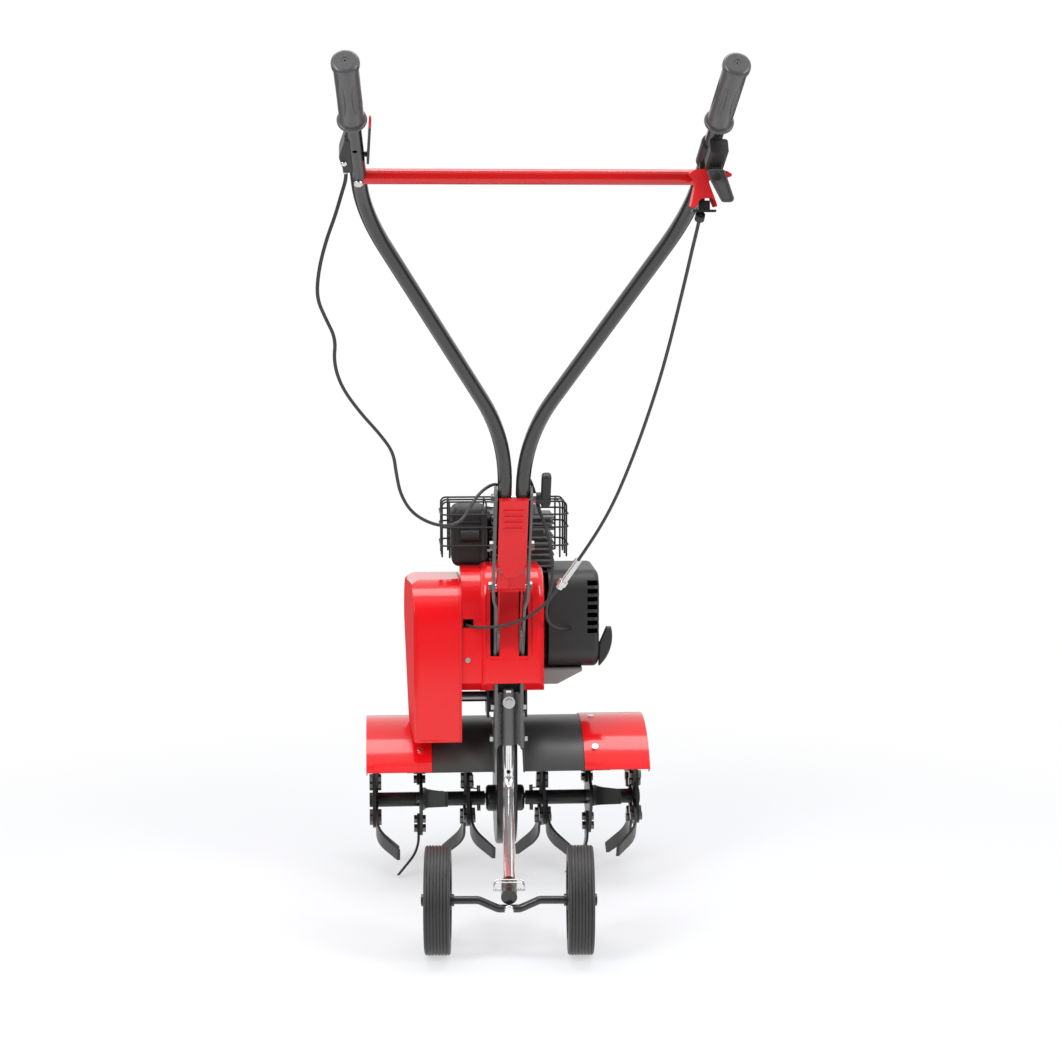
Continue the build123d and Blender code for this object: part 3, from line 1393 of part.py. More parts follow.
def hood():
    """Painted cover behind the engine, with a panel and two slots for the handlebar column."""
    shell = hood_body(0, 0) - hood_body(HOOD_WALL, HOOD_CUT)
    width = 2 * PANEL_HALF
    height = PANEL_TOP - PANEL_BOTTOM
    panel = extrude(RectangleRounded(width, height, PANEL_CORNER), PANEL_DEPTH)
    middle = (PANEL_TOP + PANEL_BOTTOM) / 2
    shell -= Plane((0, HOOD_BACK, middle), x_dir=(1, 0, 0), z_dir=(0, 1, 0)).location * panel
    slot = box(
        SIDE_LOW_X - SECTOR_T - GAP * 3, SIDE_LOW_X + SIDE_T + SLOT_OUT, HOOD_BACK, HOOD_BACK + 2 * HOOD_WALL,
        SLOT_BOTTOM, SLOT_TOP,
    )
    for one in both_sides(slot):
        shell -= one
    shell -= box(
        BACKPLATE_RIGHT, CABLE_SLOT_X, HOOD_BACK, HOOD_BACK + HOOD_STEP + HOOD_WALL,
        CABLE_SLOT_Z - CABLE_SLOT_H / 2, CABLE_SLOT_Z + CABLE_SLOT_H / 2,
    )
    notch = BRACKET_OUT_X + GAP
    shell -= box(-notch, notch, HOOD_BACK, BRACKET_FRONT, HOOD_BOTTOM, BED_BOTTOM)
    shell -= cord_hole(STOP_CORD[-2], STOP_CORD[-1], STOP_CORD_D)
    return drilled(shell, hood_screws())


def chassis_bolts():
    """Bolts and screws of the case, bracket, fenders and hood, and the column's hinge pin."""
    places = case_bolt_places() + bracket_bolts() + [holder_bolt()] + fender_bolts() + hood_screws()
    return Compound(children=[bolt(*place) for place in places] + [holder_washer(), hinge_pin()])


# Engine

def crankcase():
    """Engine block with the boss of its drive shaft and a foot under the blower housing."""
    block = soft_box(
        CRANKCASE_LEFT, CRANKCASE_RIGHT, CRANKCASE_BACK, CRANKCASE_FRONT, BED_TOP, CRANKCASE_TOP,
        CRANKCASE_EDGE,
    )
    block += box(
        CRANKCASE_LEFT + CRANKCASE_EDGE, BED_RIGHT - GAP, CRANKCASE_BACK, CRANKCASE_FRONT,
        BED_TOP, BED_TOP + BASE_H,
    )
    block += rod_x(BACKPLATE_RIGHT, CRANKCASE_LEFT, CRANK_Y, CRANK_Z, PTO_BOSS_R)
    side = HOOD_RIGHT + GAP
    foot = make_face(Polyline(
        (side, FOOT_BOTTOM),
        (side + FOOT_HEEL, FOOT_BOTTOM),
        (FOOT_RIGHT, BLOWER_BOTTOM - FOOT_TOE),
        (FOOT_RIGHT, BLOWER_BOTTOM),
        (side, BLOWER_BOTTOM),
        close=True,
    ))
    block += extrude(Plane.XZ.offset(-FOOT_FRONT) * foot, FOOT_FRONT - FOOT_BACK)
    block += box(side, CRANKCASE_RIGHT, CRANKCASE_BACK, FOOT_FRONT, FOOT_BOTTOM, CRANK_Z)
    return block - rod_x(BACKPLATE_RIGHT, CRANKCASE_RIGHT, CRANK_Y, CRANK_Z, CRANK_R + FIT)


def finned(bottom, top, first, count):
    """Finned block of the cylinder between two heights."""
    core = box(
        CYLINDER_X - CYLINDER_CORE, CYLINDER_X + CYLINDER_CORE, CYLINDER_Y - CYLINDER_CORE,
        CYLINDER_Y + CYLINDER_CORE, bottom, top,
    )
    fins = []
    for k in range(count):
        z = first + k * FIN_STEP
        fins.append(box(CYLINDER_LEFT, CYLINDER_RIGHT, CYLINDER_BACK, CYLINDER_FRONT, z, z + FIN_T))
    return core + fins


def cylinder():
    """Cylinder barrel with its cooling fins."""
    return finned(CRANKCASE_TOP, CYLINDER_TOP, CRANKCASE_TOP + FIN_STEP - FIN_T, CYLINDER_FINS)


def cylinder_head():
    """Cylinder head with fins and the rocker cover on it."""
    head = finned(CYLINDER_TOP, HEAD_TOP, CYLINDER_TOP + HEAD_BASE + FIN_STEP - FIN_T, HEAD_FINS)
    rocker = box(
        CYLINDER_X - ROCKER_HALF_X, CYLINDER_X + ROCKER_HALF_X, CYLINDER_Y - ROCKER_HALF_Y,
        CYLINDER_Y + ROCKER_HALF_Y, HEAD_TOP, ROCKER_TOP,
    )
    rocker = fillet(rocker.edges().filter_by(Axis.Z), ROCKER_HEIGHT / 2)
    rocker = fillet(rocker.faces().sort_by(Axis.Z)[-1].edges(), ROCKER_HEIGHT / 4)
    return head + rocker


def spark_plug():
    """Spark plug in the front of the head, with its boot."""
    z = CYLINDER_TOP + HEAD_BASE + FIN_STEP / 2 - FIN_T / 2
    front = CYLINDER_FRONT
    plug = rod((PLUG_X, front, z + FIN_STEP), (PLUG_X, front + PLUG_LENGTH, z + FIN_STEP), PLUG_R)
    boot_end = front + PLUG_LENGTH + BOOT_LENGTH
    return plug + rod((PLUG_X, front + PLUG_LENGTH, z + FIN_STEP), (PLUG_X, boot_end, z + FIN_STEP), BOOT_R)


def muffler():
    """Pressed muffler box with a seam ledge and an outlet behind, on its stub of the exhaust port."""
    body = soft_box(
        MUFFLER_LEFT, MUFFLER_RIGHT, MUFFLER_BACK, MUFFLER_FRONT, MUFFLER_BOTTOM, MUFFLER_TOP, MUFFLER_EDGE
    )
    seam = MUFFLER_BOTTOM + MUFFLER_SEAM_RISE
    ledge = box(
        MUFFLER_LEFT - MUFFLER_LIP, MUFFLER_RIGHT, MUFFLER_BACK - MUFFLER_LIP, MUFFLER_FRONT + MUFFLER_LIP,
        seam - MUFFLER_SEAM, seam + MUFFLER_SEAM,
    )
    ledge = fillet(ledge.edges().filter_by(Axis.Z), MUFFLER_EDGE)
    stub = rod_x(MUFFLER_RIGHT - MUFFLER_EDGE, CYLINDER_LEFT, CYLINDER_Y, HEAD_TOP - EXHAUST_R, EXHAUST_R)
    outlet_z = MUFFLER_BOTTOM + OUTLET_RISE
    start = MUFFLER_LEFT + OUTLET_IN
    outlet = rod_x(start, start + OUTLET_LENGTH, MUFFLER_BACK, outlet_z, OUTLET_R)
    outlet -= rod_x(start, start + OUTLET_IN, MUFFLER_BACK, outlet_z, OUTLET_R - OUTLET_WALL)
    return body + ledge + stub + outlet


def muffler_guard():
    """Wire cage over the muffler: level rings outside bent hoops, cut away round the cylinder."""
    centre = Pos((CAGE_LEFT + CAGE_RIGHT) / 2, (CAGE_BACK + CAGE_FRONT) / 2, 0)
    wires = []
    for z in CAGE_LEVELS:
        ring = RectangleRounded(CAGE_RIGHT - CAGE_LEFT, CAGE_FRONT - CAGE_BACK, CAGE_CORNER)
        path = (centre * Pos(0, 0, z) * ring).wires()[0]
        section = Plane(path @ 0, z_dir=path % 0) * Circle(CAGE_WIRE_R)
        wires.append(sweep(section, path=path))
    low = CAGE_LEVELS[0] - CAGE_LEG
    top = ROCKER_TOP + CAGE_WIRE_R
    back, front = CAGE_BACK + CAGE_WELD, CAGE_FRONT - CAGE_WELD
    left, right = CAGE_LEFT + CAGE_WELD, CAGE_RIGHT - CAGE_WELD
    for k in range(CAGE_POSTS):
        x = CAGE_LEFT + CAGE_CORNER + (CAGE_RIGHT - CAGE_LEFT - 2 * CAGE_CORNER) * k / (CAGE_POSTS - 1)
        hoop = [(x, back, low), (x, back, top), (x, front, top), (x, front, low)]
        wires.append(tube(hoop, CAGE_BEND_R, CAGE_WIRE_R))
    roof = top + CAGE_WELD
    for y in (CAGE_BACK + CAGE_CORNER, CYLINDER_Y - CAGE_CORNER, CAGE_FRONT - CAGE_CORNER):
        hoop = [(left, y, low), (left, y, roof), (right, y, roof), (right, y, low)]
        wires.append(tube(hoop, CAGE_BEND_R, CAGE_WIRE_R))
    cage = wires[0].fuse(*wires[1:])
    return cage - box(
        CYLINDER_LEFT - CAGE_WELD, CYLINDER_RIGHT + CAGE_WELD, CYLINDER_Y, CYLINDER_FRONT,
        CRANKCASE_TOP, HEAD_TOP + GAP,
    )


def blower_outline(inset):
    """Side view of the blower housing, drawn in by an inset."""
    height = BLOWER_TOP - BLOWER_BOTTOM - 2 * inset
    square = RectangleRounded(2 * (BLOWER_HALF - inset), height, BLOWER_CORNER - inset)
    return Pos(CRANK_Y, (BLOWER_TOP + BLOWER_BOTTOM) / 2) * square


def blower_body(inset):
    """Solid of the blower housing with a rounded right edge, drawn in by an inset."""
    body = prism(blower_outline(inset), CRANKCASE_RIGHT, BLOWER_RIGHT - inset)
    face = body.faces().sort_by(Axis.X)[-1]
    return fillet(face.edges(), BLOWER_EDGE - inset)


def blower_housing():
    """Moulded housing round the flywheel, with louvres at the rear and the guide of the starter rope."""
    shell = blower_body(0) - blower_body(BLOWER_WALL)
    back = CRANK_Y - BLOWER_HALF
    for k in range(LOUVRES):
        z = LOUVRE_BOTTOM + k * LOUVRE_STEP
        shell -= box(LOUVRE_LEFT, BLOWER_RIGHT, back - GAP, back + BLOWER_EDGE + LOUVRE_DEEP, z, z + LOUVRE_H)
    shell += rod((GUIDE_X, GUIDE_FRONT, GUIDE_Z), (GUIDE_X, GUIDE_BACK, GUIDE_Z), GUIDE_R)
    shell += box(
        BLOWER_RIGHT - BLOWER_WALL / 2, GUIDE_X, GUIDE_BACK + GUIDE_STEP, GUIDE_FRONT,
        GUIDE_Z - GUIDE_R, GUIDE_Z + GUIDE_R,
    )
    shell -= cord_hole(THROTTLE_CABLE[-2], THROTTLE_CABLE[-1], THROTTLE_CABLE_D)
    return shell - rod((GUIDE_X, GUIDE_BACK + ROPE_DEEP, GUIDE_Z), (GUIDE_X, GUIDE_BACK, GUIDE_Z), ROPE_R)


def starter_handle():
    """Wedge-shaped pull handle of the recoil starter, against its rope guide."""
    left = BLOWER_RIGHT + GAP
    right = left + PULL_W
    top = GUIDE_Z + PULL_UP
    bottom = GUIDE_Z - PULL_DOWN
    middle = GUIDE_Z + GUIDE_R
    outline = make_face([
        Line((left, bottom), (left, middle)),
        Line((left, middle), (right - PULL_TIP, top)),
        Line((right - PULL_TIP, top), (right, top)),
        ThreePointArc((right, top), (right - PULL_TIP / 3, GUIDE_Z), (left, bottom)),
    ])
    back = GUIDE_BACK - GAP
    grip_body = extrude(Plane.XZ.offset(-back) * outline, PULL_T)
    return fillet(grip_body.faces().sort_by(Axis.Y)[0].edges(), PULL_EDGE)


def fuel_tank():
    """Moulded tank on the front of the crankcase."""
    back = CRANKCASE_FRONT
    front = back + TANK_DEPTH
    tank = soft_box(TANK_LEFT, TANK_RIGHT, back, front, TANK_BOTTOM, TANK_TOP, TANK_EDGE)
    middle = (back + front) / 2
    tank += rod((CAP_X, middle, TANK_TOP - TANK_EDGE), (CAP_X, middle, TANK_TOP + NECK_HEIGHT), NECK_R)
    return tank + box(
        TANK_LEFT + SADDLE_IN, TANK_RIGHT - SADDLE_IN, back, back + TANK_EDGE,
        TANK_BOTTOM, TANK_TOP - TANK_EDGE,
    )


def fuel_cap():
    """Screw cap over the neck of the tank, with finger grooves."""
    middle = CRANKCASE_FRONT + TANK_DEPTH / 2
    low = TANK_TOP + GAP
    cap = rod((CAP_X, middle, low), (CAP_X, middle, low + CAP_HEIGHT), CAP_R)
    cap -= rod((CAP_X, middle, low), (CAP_X, middle, TANK_TOP + NECK_HEIGHT + GAP), NECK_R + GAP)
    for k in range(CAP_FLUTES):
        angle = 2 * math.pi * k / CAP_FLUTES
        x = CAP_X + CAP_R * math.cos(angle)
        y = middle + CAP_R * math.sin(angle)
        cap -= rod((x, y, low), (x, y, low + CAP_HEIGHT), CAP_FLUTE_R)
    return cap


def carburettor():
    """Carburettor on the front of the cylinder head."""
    front = CYLINDER_FRONT + CARB_DEPTH
    body = box(CARB_LEFT, CARB_RIGHT, CYLINDER_FRONT, front, CARB_BOTTOM, CARB_TOP)
    bowl_y = (CYLINDER_FRONT + front) / 2
    bowl_x = (CARB_LEFT + CARB_RIGHT) / 2
    return body + rod((bowl_x, bowl_y, CARB_BOTTOM - BOWL_H), (bowl_x, bowl_y, CARB_BOTTOM), BOWL_R)


def air_cleaner():
    """Box of the air cleaner beside the carburettor."""
    body = soft_box(
        CLEANER_LEFT, CARB_LEFT, CLEANER_BACK, CLEANER_FRONT, CLEANER_BOTTOM, CLEANER_TOP, CLEANER_EDGE
    )
    return body + box(
        CARB_LEFT - CLEANER_EDGE, CARB_LEFT, CYLINDER_FRONT + CLEANER_STEP, CYLINDER_FRONT + CARB_DEPTH,
        CARB_BOTTOM, CARB_TOP,
    )


# Handlebar column, drawn with Z up the column and the operator at -Y

def height_sector():
    """Bracket on the bed with the hinge pin and two toothed sectors."""
    x0 = SIDE_LOW_X - GAP - SECTOR_T
    x1 = SIDE_LOW_X - GAP

    def polar(radius, angle):
        turn = math.radians(angle)
        return (PIVOT_Y + radius * math.cos(turn), PIVOT_Z + radius * math.sin(turn))

    middle = (SECTOR_START + SECTOR_END) / 2
    pie = make_face([
        Line((PIVOT_Y, PIVOT_Z), polar(SECTOR_R, SECTOR_START)),
        ThreePointArc(polar(SECTOR_R, SECTOR_START), polar(SECTOR_R, middle), polar(SECTOR_R, SECTOR_END)),
        Line(polar(SECTOR_R, SECTOR_END), (PIVOT_Y, PIVOT_Z)),
    ])
    wall = prism(pie, x0, x1)
    wall += rod_x(x0, x1, PIVOT_Y, PIVOT_Z, SIDE_FOOT)
    wall += box(x0, x1, PIVOT_Y - SECTOR_FOOT_BACK, PIVOT_Y + SECTOR_FOOT_FRONT, BED_TOP, PIVOT_Z)
    first = middle - (SECTOR_TEETH - 1) / 2 * TOOTH_ANGLE
    for k in range(SECTOR_TEETH):
        y, z = polar(SECTOR_R, first + k * TOOTH_ANGLE)
        wall -= rod_x(x0, x1, y, z, NOTCH_R)
    wall -= rod_x(x0, x1, PIVOT_Y, PIVOT_Z, PIN_R)
    foot = box(
        -x1, x1, PIVOT_Y - SECTOR_FOOT_BACK, PIVOT_Y + SECTOR_FOOT_FRONT, BED_TOP, BED_TOP + SECTOR_FOOT_T
    )
    return foot + both_sides(wall)


def hinge_pin():
    """Pin of the column's hinge with a head at each end."""
    out = SIDE_LOW_X + SIDE_T + GAP
    pin = rod_x(-out, out, PIVOT_Y, PIVOT_Z, PIN_R)
    return pin + both_sides(rod_x(out, out + PIN_HEAD, PIVOT_Y, PIVOT_Z, PIN_R + PIN_HEAD))


def column_plates():
    """Two side plates of the column, set inwards below a jog."""
    low = SIDE_LOW_X
    top = SIDE_TOP_X
    jog_end = JOG_AT + JOG_LENGTH
    outline = make_face(Polyline(
        (low, -SIDE_FOOT),
        (low + SIDE_T, -SIDE_FOOT),
        (low + SIDE_T, JOG_AT),
        (top + SIDE_T, jog_end),
        (top + SIDE_T, COLUMN_LENGTH),
        (top, COLUMN_LENGTH),
        (top, jog_end),
        (low, JOG_AT),
        close=True,
    ))
    plate = extrude(Plane.XZ * outline, SIDE_W / 2, both=True)
    foot = plate.edges().filter_by(Axis.X).sort_by(Axis.Z)[:2]
    plate = fillet(foot, SIDE_FOOT - GAP)
    head = plate.edges().filter_by(Axis.X).sort_by(Axis.Z)[-2:]
    plate = fillet(head, SIDE_FOOT / 2)
    plate -= rod_x(0, SIDE_OUT_X, 0, 0, PIN_R + FIT)
    for z in COLUMN_BOLTS:
        plate -= rod_x(0, SIDE_OUT_X, 0, z, COLUMN_BOLT_R + FIT)
    plate -= rod_x(0, SIDE_OUT_X, SPACER_FORWARD, SPACER_AT, SPACER_R + FIT)
    return COLUMN.location * Compound(children=both_sides(plate))


def column_bolts():
    """Zinc bolts of the column, cross bar and stop bracket, and the stop cord's ferrule."""
    across, head = LARGE_BOLT[:2]
    hexagon = prism(RegularPolygon(across / 2, 6, major_radius=False), SIDE_OUT_X, SIDE_OUT_X + head)
    solids = []
    crossings = [(0, z, COLUMN_BOLT_R) for z in COLUMN_BOLTS]
    crossings.append((SPACER_FORWARD, SPACER_AT, SPACER_R))
    for y, z, radius in crossings:
        cross_bolt = rod_x(-SIDE_OUT_X, SIDE_OUT_X, 0, 0, radius) + both_sides(hexagon)
        solids.append(COLUMN.location * Pos(0, y, z) * cross_bolt)
    for place in crossbar_bolts() + [stop_bolt()]:
        solids.append(round_bolt(*place))
    return Compound(children=solids + [stop_ferrule()])


def crossbar_bolts():
    """Bolt at each end of the cross bar, on the rear of the handle tube."""
    size = CROSSBAR_BOLT + (TUBE_R,)
    places = []
    for side in (1, -1):
        seat = RUN.from_local_coords(Vector(0, -TUBE_R, CROSSBAR_AT))
        out = RUN.from_local_coords(Vector(0, -1, 0)) - RUN.origin
        places.append((Vector(side * seat.X, seat.Y, seat.Z), Vector(side * out.X, out.Y, out.Z), size))
    return places


def handle_points():
    """Points of the right handle tube from the column to the grip."""
    return [
        COLUMN.from_local_coords(Vector(TUBE_X, 0, TUBE_START)),
        COLUMN.from_local_coords(Vector(TUBE_X, 0, LOW_BEND_AT)),
        RUN.from_local_coords(Vector(0, 0, -TOP_BEND_BACK)),
        HANDLE_END,
    ]


def handle_tube(side):
    """Bent handle tube of one side, drilled for its bolts and, on the left, for an accessory."""
    body = tube(handle_points(), [LOW_BEND_R, TOP_BEND_R], TUBE_R, TUBE_R - TUBE_WALL)
    for z in COLUMN_BOLTS:
        body -= COLUMN.location * rod_x(0, SIDE_OUT_X, 0, z, COLUMN_BOLT_R + FIT)
    body = drilled(body, crossbar_bolts()[:1])
    if side > 0:
        return body - cord_hole(THROTTLE_CABLE[0], THROTTLE_CABLE[1], THROTTLE_CABLE_D)
    body -= RUN.location * rod((0, -2 * TUBE_R, FREE_HOLE_AT), (0, 2 * TUBE_R, FREE_HOLE_AT), FREE_HOLE_R)
    body -= RUN.location * rod_x(-2 * TUBE_R, 2 * TUBE_R, 0, STOP_PIN_AT, STOP_PIN_R + FIT)
    return mirror(body, about=Plane.YZ)


def crossbar():
    """Painted tube between the handle tubes, its ends cut to fit them."""
    place = RUN.from_local_coords(Vector(0, 0, CROSSBAR_AT))
    bar = ring_x(-place.X, place.X, place.Y, place.Z, CROSSBAR_R, CROSSBAR_R - CROSSBAR_WALL)
    saddle = RUN.location * rod((0, 0, 0), (0, 0, 2 * CROSSBAR_AT), TUBE_R + FIT)
    for one in both_sides(saddle):
        bar -= one
    return bar


def grip_flute():
    """Spindle that cuts one long flute, standing on the middle of the grip's axis."""
    half = (GRIP_LENGTH - 2 * GRIP_FLANGE_T - 2 * GRIP_CAP_T) / 2
    outline = make_face([
        ThreePointArc((0, -half), (GRIP_FLUTE_R, 0), (0, half)),
        Line((0, half), (0, -half)),
    ])
    return revolve(Plane.XZ * outline, Axis.Z)


def grip(side):
    """Moulded grip on the end of a handle tube, with long flutes, a rounded flange and a domed end."""
    start = GRIP_AT
    end = start + GRIP_LENGTH
    body = rod((0, 0, start), (0, 0, end - GRIP_CAP_T), GRIP_R)
    flange = rod((0, 0, start), (0, 0, start + GRIP_FLANGE_T), GRIP_FLANGE_R)
    body += fillet(flange.edges().filter_by(GeomType.CIRCLE), GRIP_FLANGE_EDGE)
    cap = rod((0, 0, end - GRIP_CAP_T), (0, 0, end), GRIP_CAP_R)
    body += fillet(cap.edges().group_by(Axis.Z)[-1], GRIP_CAP_EDGE)
    middle = (start + GRIP_FLANGE_T + end - GRIP_CAP_T) / 2
    spindle = grip_flute()
    for k in range(GRIP_FLUTES):
        turn = Rot(0, 0, 360 * k / GRIP_FLUTES)
        body -= turn * Pos(GRIP_R + GRIP_FLUTE_R - GRIP_FLUTE_DEEP, 0, middle) * spindle
    body -= rod((0, 0, end - GRIP_DISH), (0, 0, end), GRIP_DISH_R)
    body -= rod((0, 0, end - GRIP_DIMPLE), (0, 0, end), GRIP_DIMPLE_R)
    body -= rod((0, 0, start), (0, 0, end - GRIP_CAP_T), TUBE_R + FIT)
    placed = RUN.location * body
    return placed if side > 0 else mirror(placed, about=Plane.YZ)


def release_slide():
    """Ridged slide on the operator's side of the column, with its catch block and two pawls of the sector."""
    back = -TUBE_R - GAP
    rear = back - SLIDE_T
    outline = make_face(Polyline(
        (-SLIDE_HALF, SLIDE_HIGH),
        (SLIDE_HALF, SLIDE_HIGH),
        (SLIDE_HALF, SLIDE_LOW + SLIDE_TAPER),
        (SLIDE_TIP_HALF, SLIDE_LOW),
        (-SLIDE_TIP_HALF, SLIDE_LOW),
        (-SLIDE_HALF, SLIDE_LOW + SLIDE_TAPER),
        close=True,
    ))
    slab = extrude(Plane((0, rear, 0), x_dir=(1, 0, 0), z_dir=(0, -1, 0)) * outline, -SLIDE_T)
    slab = fillet(slab.faces().sort_by(Axis.Y)[0].edges(), SLIDE_T / 4)
    for z in SLIDE_RIDGES:
        slab += box(-RIDGE_HALF, RIDGE_HALF, rear - RIDGE_H, back, z - RIDGE_W / 2, z + RIDGE_W / 2)
    slab += box(-SLIDE_HALF, SLIDE_HALF, back - FLANGE_T, PAWL_HALF, CATCH_LOW, CATCH_HIGH)
    slab += box(-RIB_HALF, RIB_HALF, back - RIB_H, back, CATCH_LOW, CATCH_HIGH)
    pawl = box(PAWL_IN_X, PAWL_OUT_X, -PAWL_HALF, PAWL_HALF, SECTOR_R + GAP, CATCH_HIGH)
    return COLUMN.location * (slab + both_sides(pawl))


def clamp_lever():
    """Moulded quick lever on the right end of the column's top bolt."""
    z = COLUMN_BOLTS[-1]
    seat = SIDE_OUT_X + LARGE_BOLT[1] + GAP
    boss = rod_x(seat, seat + CLAMP_OUT, 0, z, CLAMP_BOSS_R)
    paddle = box(
        seat + CLAMP_OUT - CLAMP_PADDLE_X, seat + CLAMP_OUT, -CLAMP_PADDLE_HALF, CLAMP_PADDLE_HALF,
        z - CLAMP_PADDLE_DOWN, z + CLAMP_PADDLE_UP,
    )
    paddle = fillet(paddle.edges(), CLAMP_PADDLE_X / 3)
    return COLUMN.location * (boss + paddle)


# Controls: clamps are drawn with Z up the last run of the right handle tube, X outwards and the operator
# at -Y, and the right levers with X to the right, Y up and the operator at +Z

def clamp_ring(start, length):
    """Clamp round the handle tube."""
    ring = rod((0, 0, start), (0, 0, start + length), TUBE_R + CLAMP_WALL)
    return ring - rod((0, 0, start), (0, 0, start + length), TUBE_R + FIT)


def throttle_pin():
    """Pin of the throttle lever on its lug, with a head over the lever."""
    front = (THROTTLE_X, THROTTLE_Z, THROTTLE_LUG_BACK)
    seat = (THROTTLE_X, THROTTLE_Z, THROTTLE_BACK + THROTTLE_T + GAP)
    crown = (THROTTLE_X, THROTTLE_Z, THROTTLE_BACK + THROTTLE_T + GAP + THROTTLE_HEAD)
    return rod(front, seat, THROTTLE_PIN_R) + rod(seat, crown, THROTTLE_HEAD_R)


def control_clamp():
    """Clamp with the housing, the arm of the clutch lever and the lug of the throttle lever."""
    housing = box(HOUSING_LEFT, HOUSING_RIGHT, -HOUSING_DEEP, -TUBE_R + CLAMP_WALL, HOUSING_AT, HOUSING_END)
    housing = fillet(housing.edges().filter_by(Axis.Z), HOUSING_EDGE)
    body = RUN.location * (clamp_ring(CLAMP_AT, CLAMP_LENGTH) + housing)
    low = CUP_PLATE_TOP
    arm = box(ARM_IN, ARM_OUT, low, 0, ARM_FRONT, ARM_BACK)
    arm += box(ARM_IN, ARM_OUT, 0, ARM_UP, ARM_FRONT, ARM_NECK)
    arm += box(ARM_BLOCK_IN, ARM_BLOCK_OUT, low, ARM_BLOCK_TOP, ARM_FRONT, ARM_BACK)
    arm += rod_x(CLUTCH_PIN_LEFT, CLUTCH_PIN_RIGHT, 0, 0, CLUTCH_PIN_R)
    lug = box(
        THROTTLE_X - THROTTLE_LUG_HALF, THROTTLE_X + THROTTLE_LUG_HALF, THROTTLE_Z - THROTTLE_LUG_DOWN,
        THROTTLE_Z + THROTTLE_LUG_UP, THROTTLE_LUG_BACK, THROTTLE_BACK - GAP,
    )
    body += LEVERS.location * arm
    body += LEVERS.location * (lug + throttle_pin())
    return body - RUN.location * rod((0, 0, 0), (0, 0, RUN_LENGTH), TUBE_R + FIT)


def cable_stop():
    """Plate under the arm, with the cup that holds the upper end of the clutch cable."""
    plate = LEVERS.location * box(
        CUP_PLATE_IN, CUP_PLATE_OUT, CUP_PLATE_TOP - CUP_PLATE_T, CUP_PLATE_TOP,
        CUP_PLATE_FRONT, CUP_PLATE_BACK,
    )
    start = Vector(CLUTCH_CABLE[0])
    way = (Vector(CLUTCH_CABLE[1]) - start).normalized()
    cup = rod(start, start + way * CUP_LENGTH, CUP_R)
    return plate + cup - rod(start, start + way * CUP_LENGTH, CLUTCH_CABLE_D / 2 + FIT)


def clutch_lever():
    """Red lever that hangs below the tube from its pin, hollow on the far side round its arm."""
    outline = make_face(Polyline(*CLUTCH_OUTLINE, close=True))
    lever = extrude(fillet(outline.vertices(), CLUTCH_ROUND), CLUTCH_HALF, both=True)
    cavity = extrude(make_face(Polyline(*CLUTCH_CAVITY, close=True)), 2 * CLUTCH_HALF)
    lever -= Pos(0, 0, CLUTCH_HALF - CLUTCH_WALL - 2 * CLUTCH_HALF) * cavity
    lever -= extrude(make_face(Polyline(*CLUTCH_ARCH, close=True)), CLUTCH_HALF)
    lever -= rod_x(2 * CLUTCH_PIN_LEFT, CLUTCH_PIN_RIGHT + GAP, 0, 0, CLUTCH_PIN_R + FIT)
    return LEVERS.location * lever


def throttle_lever():
    """Grey throttle paddle over the clutch lever, hollowed inside a rim below its pin."""
    paddle = hull([(corner, THROTTLE_CORNER) for corner in THROTTLE_PADDLE])
    lever = Pos(0, 0, THROTTLE_BACK) * extrude(paddle, THROTTLE_T)
    hollow = hull([(corner, THROTTLE_CORNER - THROTTLE_RIM) for corner in THROTTLE_PADDLE])
    hollow = Pos(0, 0, THROTTLE_BACK + THROTTLE_T - THROTTLE_HOLLOW) * extrude(hollow, THROTTLE_HOLLOW)
    lever -= hollow
    low = (THROTTLE_X, THROTTLE_Z, THROTTLE_BACK)
    high = (THROTTLE_X, THROTTLE_Z, THROTTLE_BACK + THROTTLE_T)
    lever += rod(low, high, THROTTLE_HEAD_R)
    lever -= rod(low, high, THROTTLE_PIN_R + FIT)
    return LEVERS.location * lever


def on_left_run(x, y, z):
    """Point given on the right handle tube's last run, moved to the left tube."""
    point = RUN.from_local_coords(Vector(x, y, z))
    return Vector(-point.X, point.Y, point.Z)


def stop_bolt():
    """Clamp bolt of the stop lever's bracket, facing the operator."""
    seat = on_left_run(STOP_BOLT_X, -STOP_BLOCK_HALF, STOP_BOLT_AT)
    out = seat - on_left_run(STOP_BOLT_X, 0, STOP_BOLT_AT)
    return (seat, out, STOP_BOLT)


def stop_ferrule():
    """Ferrule at the upper end of the stop cord."""
    start = on_left_run(FERRULE_X, 0, STOP_BLOCK_AT - FERRULE_LENGTH)
    return rod(start, on_left_run(FERRULE_X, 0, STOP_BLOCK_AT), FERRULE_R)


def stop_bracket():
    """Wedge-shaped bracket of the stop lever outside the left handle tube, with the lever's pin."""
    inner = -TUBE_R - CLAMP_WALL
    outline = make_face(Polyline(*STOP_BLOCK_OUTLINE, close=True))
    outline = fillet(outline.vertices(), STOP_BLOCK_ROUND)
    body = extrude(Plane.XZ * outline, STOP_BLOCK_HALF, both=True)
    body -= rod((0, 0, 0), (0, 0, RUN_LENGTH), TUBE_R + FIT)
    body += rod_x(inner - STOP_LEVER_T, TUBE_R + CLAMP_WALL, 0, STOP_PIN_AT, STOP_PIN_R)
    return drilled(mirror(RUN.location * body, about=Plane.YZ), [stop_bolt()])


